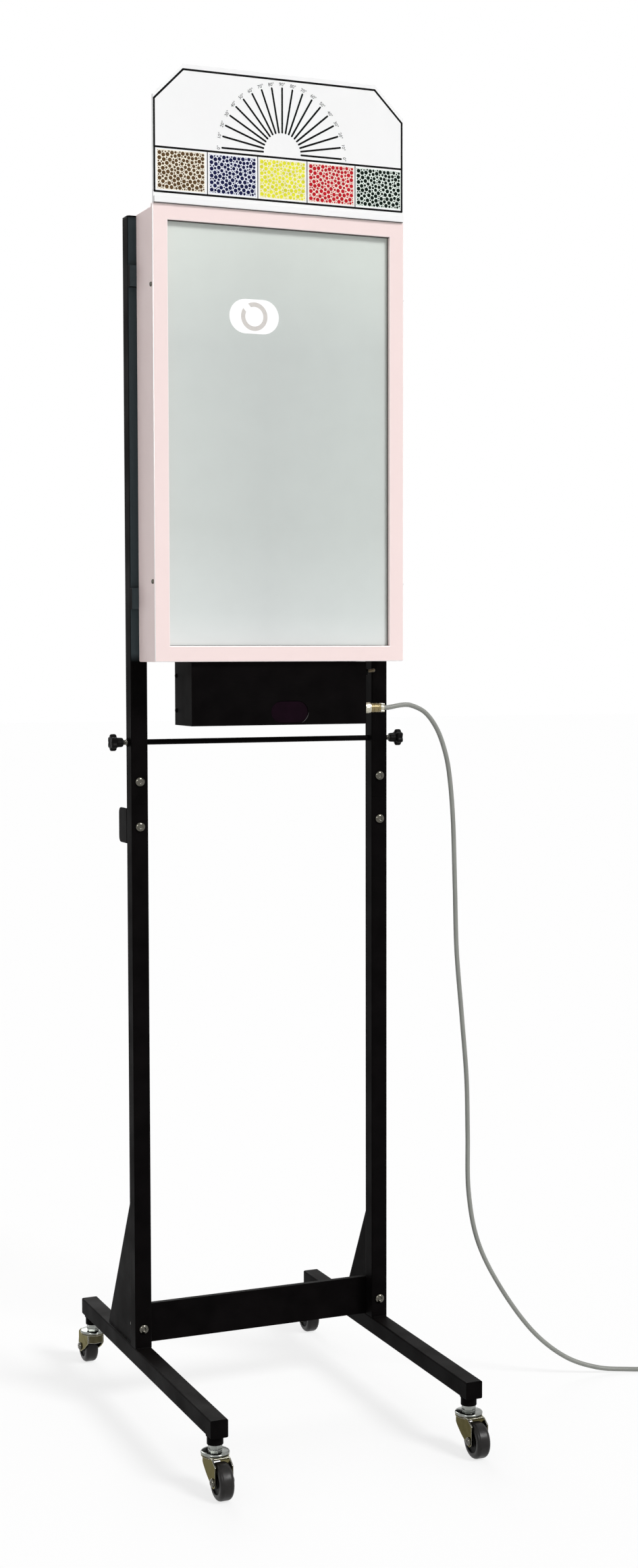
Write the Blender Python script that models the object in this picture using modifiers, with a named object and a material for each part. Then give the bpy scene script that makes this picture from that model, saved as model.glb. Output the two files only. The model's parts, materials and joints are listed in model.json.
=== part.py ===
"""Vision tester: a lit eye-test box with a dial panel, on a tall castered stand.

Metres, +Z up. The front faces -Y and the origin is on the floor, midway between the four casters.
"""

import math

import bmesh
import bpy
from mathutils import Matrix, Vector

# Fits
GAP = 0.0003
BORE_CLEARANCE = 0.0003

# Square tube of the stand
TUBE = 0.025
TUBE_WALL = 0.0016
TUBE_CORNER = 0.002

# Stand
POST_SPACING = 0.378
POST_OFFSET = 0.035
POST_DROP = 0.0045
POST_SEAM = 0.9015
RAIL_LENGTH = 0.590
CASTER_INSET = 0.017
SPLICE_LENGTH = 0.130
SPLICE_WALL = 0.002
CAP_FLANGE = 0.002
CAP_PLUG = 0.012
GUSSET_HEIGHT = 0.216
GUSSET_DEPTH = 0.115
GUSSET_NOSE = 0.004
GUSSET_THICKNESS = 0.003
GUSSET_INSET = 0.0035
CROSS_HEIGHT = 0.0574
CROSS_THICKNESS = 0.008

# Button-head bolts
BOLT_RADIUS = 0.004
BOLT_HEAD_RADIUS = 0.007
BOLT_HEAD_HEIGHT = 0.0044
BOLT_SOCKET = 0.005
BOLT_SOCKET_DEPTH = 0.0026
BOLT_PITCH = 0.065
SPLICE_BOLT_LENGTH = 0.012

# Tie rod and star knobs
ROD_RADIUS = 0.004
ROD_HEIGHT = 0.9905
LOCK_NUT_RADIUS = 0.0065
LOCK_NUT_LENGTH = 0.0028
ROD_BARE = 0.0060
ROD_GRIP = 0.0110
KNOB_HUB_RADIUS = 0.0068
KNOB_HUB_LENGTH = 0.0095
KNOB_HEAD_RADIUS = 0.0122
KNOB_HEAD_LENGTH = 0.0095
KNOB_LOBES = 6
KNOB_LOBE_DEPTH = 0.0026

# Bracket behind the left post
BRACKET_HEIGHT = 0.0506
BRACKET_DEPTH = 0.0355
BRACKET_THICKNESS = 0.0025
BRACKET_CORNER = 0.008

# Casters
WHEEL_RADIUS = 0.025
WHEEL_WIDTH = 0.020
WHEEL_SHOULDER = 0.0055
WHEEL_RIM = 0.0085
WHEEL_HUB_RADIUS = 0.0085
WHEEL_DISH = 0.0022
WHEEL_SIDE_PLAY = 0.0012
AXLE_RADIUS = 0.003
AXLE_HEAD_RADIUS = 0.0058
AXLE_HEAD_HEIGHT = 0.0028
CASTER_TRAIL = 0.026
CROWN_CLEAR = 0.0025
CROWN_THICKNESS = 0.0025
CROWN_RADIUS = 0.0190
CROWN_REACH = 0.0235
CROWN_LIP = 0.004
ARM_THICKNESS = 0.002
ARM_END_RADIUS = 0.0082
ARM_BACK = 0.0130
ARM_DROP = 0.012
ARM_BELLY = (0.0020, 0.0285)
ARM_SEAT = 0.0003
PIN_RADIUS = 0.004
PIN_HEAD_RADIUS = 0.0062
PIN_HEAD_HEIGHT = 0.002
CUP_RADIUS = 0.0195
CUP_HEIGHT = 0.0048
CUP_LIP = 0.0018
NUT_ACROSS_FLATS = 0.019
NUT_HEIGHT = 0.0072
STEM_RADIUS = 0.005
STEM_REACH = 0.016
BOSS_RADIUS = 0.0112
BOSS_HEIGHT = 0.012

# Light box
BOX_WIDTH = 0.383
BOX_HEIGHT = 0.634
BOX_DEPTH = 0.071
BOX_BOTTOM = 1.106
BOX_CORNER = 0.002
SHEET = 0.0012
BEZEL_BORDER = 0.0225
BEZEL_FLANGE = 0.018
BEZEL_RECESS = 0.008
SCREEN_LAP = 0.007
SCREEN_THICKNESS = 0.003
BAFFLE_WALL = 0.003
BAFFLE_COLUMNS = 4
BAFFLE_ROWS = 7
LAMP_BOARD = 0.0016
WIRE_HOLE = 0.012
MOUNT_BAR_HEIGHT = 0.030
MOUNT_BAR_THICKNESS = 0.008
MOUNT_BAR_INSET = 0.090

# Dial panel
PANEL_INSET = 0.0015
PANEL_HEIGHT = 0.1905
PANEL_CHAMFER = 0.044
PANEL_THICKNESS = 0.004
FOOT_INSET = 0.020
FOOT_LEG = 0.013
FOOT_SHEET = 0.0015

# Control box
CONTROL_WIDTH = 0.270
CONTROL_HEIGHT = 0.0908
CONTROL_DEPTH = 0.072
COVER_LIP = 0.010
WINDOW_LENGTH = 0.057
WINDOW_HEIGHT = 0.031
WINDOW_OFFSET = 0.0145
WINDOW_RISE = 0.0185
WINDOW_BULGE = 0.003
WINDOW_LAP = 0.0014
BOARD_LENGTH = 0.180
BOARD_DEPTH = 0.050
BOARD_THICKNESS = 0.0016
BOARD_RISE = 0.010

# Toggle switch
TOGGLE_FROM_FRONT = 0.0165
TOGGLE_RISE = 0.0755
TOGGLE_BUSH_RADIUS = 0.0058
TOGGLE_BUSH_LENGTH = 0.0085
TOGGLE_BUSH_BORE = 0.0042
TOGGLE_NUT_RADIUS = 0.0078
TOGGLE_NUT_LENGTH = 0.0022
TOGGLE_CASE = 0.013
TOGGLE_CASE_LENGTH = 0.018
TOGGLE_PIVOT_DEPTH = 0.0035
TOGGLE_BALL_RADIUS = 0.0027
TOGGLE_NECK_RADIUS = 0.0017
TOGGLE_TIP_RADIUS = 0.0027
TOGGLE_LENGTH = 0.0165
TOGGLE_TILT = math.radians(9)

# Cable connector
CONNECTOR_FROM_FRONT = 0.0148
CONNECTOR_RISE = 0.0227
SOCKET_BARREL_RADIUS = 0.0055
SOCKET_BARREL_LENGTH = 0.012
SOCKET_FLANGE_RADIUS = 0.0090
SOCKET_FLANGE_LENGTH = 0.0022
SOCKET_TAIL_LENGTH = 0.010
RING_RADIUS = 0.0082
RING_LENGTH = 0.0095
SLEEVE_RADIUS = 0.0070
SLEEVE_LENGTH = 0.016
CLAMP_RADIUS = 0.0066
CLAMP_LENGTH = 0.0065

# Cord and its coil
CORD_RADIUS = 0.0035
COIL_CENTRE = Vector((0.705, -0.165))
COIL_MEAN_RADIUS = 0.041
COIL_TURNS = 5.25
COIL_STEP = 2 * CORD_RADIUS + 0.0008
COIL_POINTS = 24
CORD_POINTS = 78
ROUTE_STEPS = 24
COIL_LIFT = 0.0020
COIL_TAIL = 0.100
TIE_WIDTH = 0.006
TIE_THICKNESS = 0.0009
TIE_EASE = 0.0008
TIE_POINT = 3
PLUG_LENGTH = 0.034
PLUG_WIDTH = 0.026
PLUG_HEIGHT = 0.017
PLUG_NECK_LENGTH = 0.018
PLUG_NECK_RADIUS = 0.0055
BLADE_LENGTH = 0.017
BLADE_WIDTH = 0.0062
BLADE_THICKNESS = 0.0015
BLADE_PITCH = 0.0127

# Hand-chosen route of the free cord, from the connector down to the floor and out to the coil
CORD_ROUTE = (
    (0.1990, -0.0350, 1.0412),
    (0.2150, -0.0350, 1.0402),
    (0.2380, -0.0350, 1.0290),
    (0.2570, -0.0350, 1.0046),
    (0.2700, -0.0350, 0.9720),
    (0.2778, -0.0350, 0.9350),
    (0.2838, -0.0350, 0.8700),
    (0.2873, -0.0350, 0.7700),
    (0.2905, -0.0350, 0.6700),
    (0.2994, -0.0350, 0.5700),
    (0.3076, -0.0350, 0.4750),
    (0.3098, -0.0350, 0.3900),
    (0.3116, -0.0350, 0.3000),
    (0.3274, -0.0350, 0.2220),
    (0.3645, -0.0365, 0.1482),
    (0.4156, -0.0447, 0.0758),
    (0.4668, -0.0553, 0.0312),
    (0.5179, -0.0668, 0.0101),
    (0.5690, -0.0811, 0.0045),
    (0.6340, -0.1100, 0.0045),
)

# Derived heights and depths
AXLE_HEIGHT = WHEEL_RADIUS
CROWN_BOTTOM = 2 * WHEEL_RADIUS + CROWN_CLEAR
CROWN_TOP = CROWN_BOTTOM + CROWN_THICKNESS
CUP_BOTTOM = CROWN_TOP + GAP
CUP_TOP = CUP_BOTTOM + CUP_HEIGHT
NUT_TOP = CUP_TOP + NUT_HEIGHT
BOSS_BOTTOM = NUT_TOP + GAP
RAIL_BOTTOM = BOSS_BOTTOM + BOSS_HEIGHT
RAIL_TOP = RAIL_BOTTOM + TUBE
POST_BOTTOM = RAIL_TOP + GAP
POST_FRONT = POST_OFFSET - TUBE / 2
POST_BACK = POST_OFFSET + TUBE / 2
CASTER_REACH = RAIL_LENGTH / 2 - CASTER_INSET
CROSS_BOTTOM = RAIL_TOP + GAP
CROSS_BOLT_HEIGHT = CROSS_BOTTOM + CROSS_HEIGHT / 2
BOX_BACK = POST_FRONT - 2 * GAP - MOUNT_BAR_THICKNESS
BOX_FRONT = BOX_BACK - BOX_DEPTH
BOX_TOP = BOX_BOTTOM + BOX_HEIGHT
POST_TOP = BOX_TOP - POST_DROP
PANEL_WIDTH = BOX_WIDTH - 2 * PANEL_INSET
SCREEN_FRONT = BOX_FRONT + BEZEL_RECESS + GAP
CONTROL_TOP = BOX_BOTTOM - GAP
CONTROL_BOTTOM = CONTROL_TOP - CONTROL_HEIGHT
CONTROL_BACK = POST_FRONT
CONTROL_FRONT = CONTROL_BACK - CONTROL_DEPTH
CONTROL_SIDE = CONTROL_WIDTH / 2
ARM_INNER = WHEEL_WIDTH / 2 + WHEEL_SIDE_PLAY
ARM_OUTER = ARM_INNER + ARM_THICKNESS
SIDES = (("left", -1), ("right", 1))
ENDS = (("front", -1), ("rear", 1))

# Turns that bring a local outline into the upright planes, and a local axis along X, Y or -Y
UPRIGHT_FRONT = Matrix.Rotation(math.pi / 2, 4, "X")
UPRIGHT_SIDE = Matrix(((0, 0, 1), (1, 0, 0), (0, 1, 0))).to_4x4()
ALONG_X = Matrix.Rotation(math.pi / 2, 4, "Y")
ALONG_FRONT = Matrix.Rotation(math.pi / 2, 4, "X")

for leftover in list(bpy.data.objects):
    bpy.data.objects.remove(leftover, do_unlink=True)
PARTS = bpy.data.collections.new("vision_tester")
CUTTERS = bpy.data.collections.new("vision_tester_cutters")
for group in (PARTS, CUTTERS):
    bpy.context.scene.collection.children.link(group)


def finish(name, colour, roughness, metallic=0.0):
    made = bpy.data.materials.new(name)
    made.use_nodes = True
    shader = made.node_tree.nodes["Principled BSDF"]
    shader.inputs["Base Color"].default_value = (*colour, 1.0)
    shader.inputs["Roughness"].default_value = roughness
    shader.inputs["Metallic"].default_value = metallic
    return made


BLACK_PAINT = finish("black_paint", (0.012, 0.011, 0.011), 0.35)
BLACK_PLASTIC = finish("black_plastic", (0.010, 0.010, 0.010), 0.5)
BRIGHT_STEEL = finish("bright_steel", (0.62, 0.61, 0.58), 0.25, 1.0)
CHROME = finish("chrome", (0.70, 0.69, 0.64), 0.12, 1.0)
RUBBER = finish("wheel_rubber", (0.045, 0.04, 0.035), 0.6)
PINK_PAINT = finish("pink_paint", (0.96, 0.80, 0.78), 0.4)
FROSTED = finish("frosted_screen", (0.65, 0.72, 0.68), 0.35)
WHITE_BOARD = finish("white_board", (0.93, 0.93, 0.93), 0.45)
WHITE_PLASTIC = finish("white_plastic", (0.85, 0.85, 0.83), 0.5)
GREEN_BOARD = finish("circuit_board", (0.02, 0.16, 0.07), 0.45)
DARK_WINDOW = finish("dark_window", (0.035, 0.012, 0.03), 0.12)
NICKEL = finish("nickel", (0.55, 0.50, 0.40), 0.3, 1.0)
CORD_VINYL = finish("cord_vinyl", (0.27, 0.29, 0.27), 0.5)
TIE_NYLON = finish("tie_nylon", (0.02, 0.02, 0.02), 0.55)


def add(name, mesh, look, at=(0, 0, 0), turn=None):
    """A part from a mesh, turned and then placed."""
    made = bpy.data.objects.new(name, mesh)
    mesh.materials.clear()
    mesh.materials.append(look)
    PARTS.objects.link(made)
    made.matrix_world = Matrix.Translation(at) @ (turn or Matrix())
    return made


def as_cutter(made):
    """Takes an object out of the parts, to cut or join others."""
    PARTS.objects.unlink(made)
    CUTTERS.objects.link(made)
    made.hide_render = True
    made.display_type = "WIRE"
    return made


def combine(body, other, operation):
    modifier = body.modifiers.new(operation.lower(), "BOOLEAN")
    modifier.operation = operation
    modifier.solver = "EXACT"
    modifier.object = other


def cut(body, *cutters):
    for cutter in cutters:
        combine(body, cutter, "DIFFERENCE")


def fuse(body, *others):
    for other in others:
        combine(body, as_cutter(other), "UNION")


def smooth(mesh, angle=35):
    mesh.shade_smooth()
    mesh.set_sharp_from_angle(angle=math.radians(angle))


def mesh_of_curve(curve_object):
    """The evaluated curve as a welded mesh; the curve is removed."""
    bpy.context.view_layer.update()
    graph = bpy.context.evaluated_depsgraph_get()
    mesh = bpy.data.meshes.new_from_object(curve_object.evaluated_get(graph))
    bpy.data.objects.remove(curve_object, do_unlink=True)
    shape = bmesh.new()
    shape.from_mesh(mesh)
    bmesh.ops.remove_doubles(shape, verts=shape.verts, dist=1e-6)
    bmesh.ops.recalc_face_normals(shape, faces=shape.faces)
    shape.to_mesh(mesh)
    shape.free()
    return mesh


def extruded(name, loops, thickness, look, at=(0, 0, 0), turn=None):
    """A flat outline, with any holes, given a thickness about its own plane."""
    curve = bpy.data.curves.new(name + "_outline", "CURVE")
    curve.dimensions = "2D"
    curve.fill_mode = "BOTH"
    curve.extrude = thickness / 2
    for loop in loops:
        spline = curve.splines.new("POLY")
        spline.points.add(len(loop) - 1)
        for point, (x, y) in zip(spline.points, loop):
            point.co = (x, y, 0, 1)
        spline.use_cyclic_u = True
    draft = bpy.data.objects.new(name + "_outline", curve)
    PARTS.objects.link(draft)
    mesh = mesh_of_curve(draft)
    mesh.name = name
    smooth(mesh)
    return add(name, mesh, look, at, turn)


def turned(name, profile, look, steps=24, ring=False, at=(0, 0, 0), turn=None):
    """A profile of (radius, height), top to bottom on its outer side, turned about its Z axis."""
    mesh = bpy.data.meshes.new(name)
    edges = [(i, i + 1) for i in range(len(profile) - 1)]
    if ring:
        edges.append((len(profile) - 1, 0))
    mesh.from_pydata([(radius, 0, height) for radius, height in profile], edges, [])
    made = add(name, mesh, look, at, turn)
    screw = made.modifiers.new("turn", "SCREW")
    screw.axis = "Z"
    screw.steps = steps
    screw.render_steps = steps
    screw.use_merge_vertices = True
    screw.merge_threshold = 0.00001
    screw.use_smooth_shade = True
    return made


def block(name, low, high, look, bevel=0.0):
    """A box between two corners."""
    low, high = Vector(low), Vector(high)
    shape = bmesh.new()
    bmesh.ops.create_cube(shape, size=1.0)
    bmesh.ops.scale(shape, vec=high - low, verts=shape.verts)
    mesh = bpy.data.meshes.new(name)
    shape.to_mesh(mesh)
    shape.free()
    made = add(name, mesh, look, (low + high) / 2)
    if bevel:
        modifier = made.modifiers.new("edges", "BEVEL")
        modifier.width = bevel
        modifier.segments = 2
        modifier.limit_method = "ANGLE"
    return made


def drill(name, radius, length, at, turn=None, steps=16):
    """A cylinder cutter, centred on a point."""
    half = length / 2
    profile = [(0, half), (radius, half), (radius, -half), (0, -half)]
    return as_cutter(turned(name, profile, BLACK_PLASTIC, steps, at=at, turn=turn))


def cutter_block(name, low, high):
    return as_cutter(block(name, low, high, BLACK_PLASTIC))


def arc(centre, radius, start, end, count):
    """Points along an arc, angles in degrees."""
    points = []
    for i in range(count + 1):
        angle = math.radians(start + (end - start) * i / count)
        points.append((centre[0] + radius * math.cos(angle), centre[1] + radius * math.sin(angle)))
    return points


def rounded(width, height, radius, count=3):
    """A rectangle about the origin with round corners."""
    points = []
    x, y = width / 2 - radius, height / 2 - radius
    for start, (sx, sy) in zip((0, 90, 180, 270), ((1, 1), (-1, 1), (-1, -1), (1, -1))):
        points += arc((sx * x, sy * y), radius, start, start + 90, count)
    return points


def rectangle(width, height, centre=(0, 0)):
    x, y = width / 2, height / 2
    corners = ((x, y), (-x, y), (-x, -y), (x, -y))
    return [(centre[0] + px, centre[1] + py) for px, py in corners]


def circle(radius, count=24, centre=(0, 0), start=0):
    return arc(centre, radius, start, start + 360, count)[:-1]


def tube_loops():
    bore = TUBE - 2 * TUBE_WALL
    return [rounded(TUBE, TUBE, TUBE_CORNER), rectangle(bore, bore)]


def foot_rail(side, sign):
    """Square rail with welded end plates and the caster bosses under it."""
    x = sign * POST_SPACING / 2
    centre = (x, 0, RAIL_BOTTOM + TUBE / 2)
    rail = extruded(f"{side}_foot_rail", tube_loops(), RAIL_LENGTH, BLACK_PAINT, centre, UPRIGHT_FRONT)
    for end, way in ENDS:
        plate = (x, way * (RAIL_LENGTH - TUBE_WALL) / 2, centre[2])
        inside = rounded(TUBE - TUBE_WALL, TUBE - TUBE_WALL, TUBE_CORNER - TUBE_WALL / 2)
        fuse(rail, extruded(f"{side}_{end}_end_plate", [inside], TUBE_WALL, BLACK_PAINT, plate, UPRIGHT_FRONT))
        boss_height = BOSS_HEIGHT + TUBE_WALL / 2
        boss_at = (x, way * CASTER_REACH, BOSS_BOTTOM + boss_height / 2)
        fuse(rail, extruded(f"{side}_{end}_boss", [circle(BOSS_RADIUS)], boss_height, BLACK_PAINT, boss_at))
        bore_length = 2 * (BOSS_HEIGHT + 2 * TUBE_WALL)
        bore_at = (x, way * CASTER_REACH, BOSS_BOTTOM)
        cut(rail, drill(f"{side}_{end}_stem_bore", STEM_RADIUS + BORE_CLEARANCE, bore_length, bore_at))
    return rail


def bolt_hole(name, x, depth, centre_y, height):
    return drill(name, BOLT_RADIUS + BORE_CLEARANCE, depth, (x, centre_y, height), ALONG_FRONT)


def splice_bolt_heights():
    return POST_SEAM + BOLT_PITCH / 2, POST_SEAM - BOLT_PITCH / 2


def post(side, sign):
    """Lower and upper tube, the splice inside their seam, and the plug that closes the top."""
    x = sign * POST_SPACING / 2
    upper_bolt, lower_bolt = splice_bolt_heights()
    wall_reach = 4 * TUBE_WALL
    lower_length = POST_SEAM - POST_BOTTOM
    at = (x, POST_OFFSET, POST_BOTTOM + lower_length / 2)
    lower = extruded(f"{side}_lower_post", tube_loops(), lower_length, BLACK_PAINT, at)
    cut(lower, bolt_hole(f"{side}_lower_splice_hole", x, wall_reach, POST_FRONT, lower_bolt))
    cut(lower, bolt_hole(f"{side}_cross_hole", x, 2 * TUBE, POST_OFFSET, CROSS_BOLT_HEIGHT))

    upper_bottom = POST_SEAM + GAP
    upper_top = POST_TOP - CAP_FLANGE - GAP
    at = (x, POST_OFFSET, (upper_bottom + upper_top) / 2)
    upper = extruded(f"{side}_upper_post", tube_loops(), upper_top - upper_bottom, BLACK_PAINT, at)
    cut(upper, bolt_hole(f"{side}_upper_splice_hole", x, wall_reach, POST_FRONT, upper_bolt))
    rod_hole = (x, POST_OFFSET, ROD_HEIGHT)
    cut(upper, drill(f"{side}_rod_hole", ROD_RADIUS + BORE_CLEARANCE, 2 * TUBE, rod_hole, ALONG_X))

    outer = TUBE - 2 * TUBE_WALL - 2 * GAP
    loops = [rectangle(outer, outer), rectangle(outer - 2 * SPLICE_WALL, outer - 2 * SPLICE_WALL)]
    splice = extruded(f"{side}_post_splice", loops, SPLICE_LENGTH, BRIGHT_STEEL, (x, POST_OFFSET, POST_SEAM))
    for level, height in (("upper", upper_bolt), ("lower", lower_bolt)):
        front_wall = POST_FRONT + TUBE_WALL + GAP
        hole = f"{side}_{level}_splice_thread"
        cut(splice, bolt_hole(hole, x, 4 * SPLICE_WALL, front_wall, height))

    flange_at = (x, POST_OFFSET, POST_TOP - CAP_FLANGE / 2)
    cap = extruded(f"{side}_post_cap", [rounded(TUBE, TUBE, TUBE_CORNER)], CAP_FLANGE, BLACK_PLASTIC, flange_at)
    plug_height = CAP_PLUG + CAP_FLANGE / 2
    plug_at = (x, POST_OFFSET, POST_TOP - CAP_FLANGE / 2 - plug_height / 2)
    fuse(cap, extruded(f"{side}_cap_plug", [rectangle(outer, outer)], plug_height, BLACK_PLASTIC, plug_at))


def gusset(side, sign):
    """Triangular plate between the back of the post and the rail."""
    outline = [
        (0, 0),
        (GUSSET_DEPTH, 0),
        (GUSSET_DEPTH, GUSSET_NOSE),
        (GUSSET_NOSE, GUSSET_HEIGHT),
        (0, GUSSET_HEIGHT),
    ]
    x = sign * (POST_SPACING / 2 + TUBE / 2 - GUSSET_INSET - GUSSET_THICKNESS / 2)
    at = (x, POST_BACK + GAP, RAIL_TOP + GAP)
    extruded(f"{side}_gusset", [outline], GUSSET_THICKNESS, BLACK_PAINT, at, UPRIGHT_SIDE)


def cross_plate():
    """Flat bar behind the posts, between the gussets."""
    gusset_inner = POST_SPACING / 2 + TUBE / 2 - GUSSET_INSET - GUSSET_THICKNESS
    width = 2 * (gusset_inner - GAP)
    holes = [
        circle(BOLT_RADIUS + BORE_CLEARANCE, 16, (sign * POST_SPACING / 2, 0)) for side, sign in SIDES
    ]
    at = (0, POST_BACK + GAP + CROSS_THICKNESS / 2, CROSS_BOLT_HEIGHT)
    loops = [rectangle(width, CROSS_HEIGHT)] + holes
    extruded("cross_plate", loops, CROSS_THICKNESS, BLACK_PAINT, at, UPRIGHT_FRONT)


def bolt(name, at, length):
    """Button-head bolt pointing back into the post, with its hexagon socket."""
    rim = BOLT_HEAD_HEIGHT * 0.25
    profile = [(0, BOLT_HEAD_HEIGHT)]
    profile += [
        (BOLT_HEAD_RADIUS * math.sin(math.radians(a)), rim + (BOLT_HEAD_HEIGHT - rim) * math.cos(math.radians(a)))
        for a in (32, 62, 90)
    ]
    profile += [
        (BOLT_HEAD_RADIUS, 0),
        (BOLT_RADIUS, 0),
        (BOLT_RADIUS, -length),
        (0, -length),
    ]
    made = turned(name, profile, BRIGHT_STEEL, 16, at=at, turn=ALONG_FRONT)
    across_corners = BOLT_SOCKET / math.sqrt(3)
    socket_at = Vector(at) - Vector((0, BOLT_HEAD_HEIGHT, 0))
    hexagon = extruded(
        f"{name}_socket", [circle(across_corners, 6)], 2 * BOLT_SOCKET_DEPTH, BLACK_PLASTIC, socket_at, UPRIGHT_FRONT
    )
    cut(made, as_cutter(hexagon))


def post_bolts():
    upper_bolt, lower_bolt = splice_bolt_heights()
    cross_length = TUBE + GAP + CROSS_THICKNESS
    for side, sign in SIDES:
        x = sign * POST_SPACING / 2
        bolt(f"{side}_upper_bolt", (x, POST_FRONT - GAP, upper_bolt), SPLICE_BOLT_LENGTH)
        bolt(f"{side}_lower_bolt", (x, POST_FRONT - GAP, lower_bolt), SPLICE_BOLT_LENGTH)
        bolt(f"{side}_cross_bolt", (x, POST_FRONT - GAP, CROSS_BOLT_HEIGHT), cross_length)


def tie_rod():
    """Round rod through both posts, a lock nut outside each and bare ends for the knobs."""
    post_side = POST_SPACING / 2 + TUBE / 2
    nut_start = post_side + GAP
    nut_end = nut_start + LOCK_NUT_LENGTH
    end = nut_end + ROD_BARE + ROD_GRIP
    half = [
        (0, end),
        (ROD_RADIUS, end),
        (ROD_RADIUS, nut_end),
        (LOCK_NUT_RADIUS, nut_end),
        (LOCK_NUT_RADIUS, nut_start),
        (ROD_RADIUS, nut_start),
    ]
    profile = half + [(radius, -height) for radius, height in reversed(half)]
    turned("tie_rod", profile, BLACK_PAINT, 16, at=(0, POST_OFFSET, ROD_HEIGHT), turn=ALONG_X)


def star_outline():
    points = []
    count = KNOB_LOBES * 8
    for i in range(count):
        angle = math.tau * i / count
        radius = KNOB_HEAD_RADIUS - KNOB_LOBE_DEPTH * (1 - math.cos(KNOB_LOBES * angle)) / 2
        points.append((radius * math.cos(angle), radius * math.sin(angle)))
    return points


def star_knob(side, sign):
    """Lobed hand knob with its hub, on the end of the tie rod."""
    hub_start = POST_SPACING / 2 + TUBE / 2 + GAP + LOCK_NUT_LENGTH + ROD_BARE
    head_start = hub_start + KNOB_HUB_LENGTH
    head_at = (sign * (head_start + KNOB_HEAD_LENGTH / 2), POST_OFFSET, ROD_HEIGHT)
    knob = extruded(f"{side}_knob", [star_outline()], KNOB_HEAD_LENGTH, BLACK_PLASTIC, head_at, ALONG_X)
    hub_length = KNOB_HUB_LENGTH + KNOB_HEAD_LENGTH / 2
    hub_at = (sign * (hub_start + hub_length / 2), POST_OFFSET, ROD_HEIGHT)
    fuse(knob, extruded(f"{side}_knob_hub", [circle(KNOB_HUB_RADIUS)], hub_length, BLACK_PLASTIC, hub_at, ALONG_X))
    bore_at = (sign * hub_start, POST_OFFSET, ROD_HEIGHT)
    bore_length = 2 * (ROD_GRIP + GAP)
    cut(knob, drill(f"{side}_knob_bore", ROD_RADIUS + BORE_CLEARANCE, bore_length, bore_at, ALONG_X, 20))


def rear_bracket():
    """Bent plate behind the left post: a back leg and a wing flush with the post's outer side."""
    outer = -POST_SPACING / 2 - TUBE / 2
    lower_bolt = splice_bolt_heights()[1]
    back = POST_BACK + GAP
    leg_at = (-POST_SPACING / 2, back + BRACKET_THICKNESS / 2, lower_bolt)
    leg = [rectangle(TUBE, BRACKET_HEIGHT)]
    bracket = extruded("rear_bracket", leg, BRACKET_THICKNESS, BLACK_PAINT, leg_at, UPRIGHT_FRONT)
    reach, tall, r = BRACKET_DEPTH, BRACKET_HEIGHT / 2, BRACKET_CORNER
    wing = [(BRACKET_THICKNESS / 2, -tall)]
    wing += arc((reach - r, -tall + r), r, -90, 0, 4)
    wing += arc((reach - r, tall - r), r, 0, 90, 4)
    wing += [(BRACKET_THICKNESS / 2, tall)]
    wing_at = (outer + BRACKET_THICKNESS / 2, back, lower_bolt)
    fuse(bracket, extruded("bracket_wing", [wing], BRACKET_THICKNESS, BLACK_PAINT, wing_at, UPRIGHT_SIDE))


def caster_stem(name, at):
    """Threaded stem, hexagon nut and domed cup, with the pin that carries the fork."""
    top = BOSS_BOTTOM + STEM_REACH
    cup = CUP_HEIGHT - CUP_LIP
    profile = [(0, top), (STEM_RADIUS, top), (STEM_RADIUS, CUP_TOP)]
    for share in (0.55, 0.8, 0.94):
        drop = cup * (1 - math.sqrt(1 - share * share))
        profile.append((CUP_RADIUS * share, CUP_TOP - drop))
    profile += [
        (CUP_RADIUS, CUP_BOTTOM + CUP_LIP),
        (CUP_RADIUS, CUP_BOTTOM),
        (PIN_RADIUS, CUP_BOTTOM),
        (PIN_RADIUS, CROWN_BOTTOM - GAP),
        (PIN_HEAD_RADIUS, CROWN_BOTTOM - GAP),
        (PIN_HEAD_RADIUS * 0.7, CROWN_BOTTOM - GAP - PIN_HEAD_HEIGHT),
        (0, CROWN_BOTTOM - GAP - PIN_HEAD_HEIGHT),
    ]
    stem = turned(name, profile, CHROME, 18, at=at)
    sink = CUP_HEIGHT / 2
    nut_length = NUT_HEIGHT + sink
    nut_at = Vector(at) + Vector((0, 0, NUT_TOP - nut_length / 2))
    corners = circle(NUT_ACROSS_FLATS / math.sqrt(3), 6, start=30)
    fuse(stem, extruded(f"{name}_nut", [corners], nut_length, CHROME, nut_at))


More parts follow.
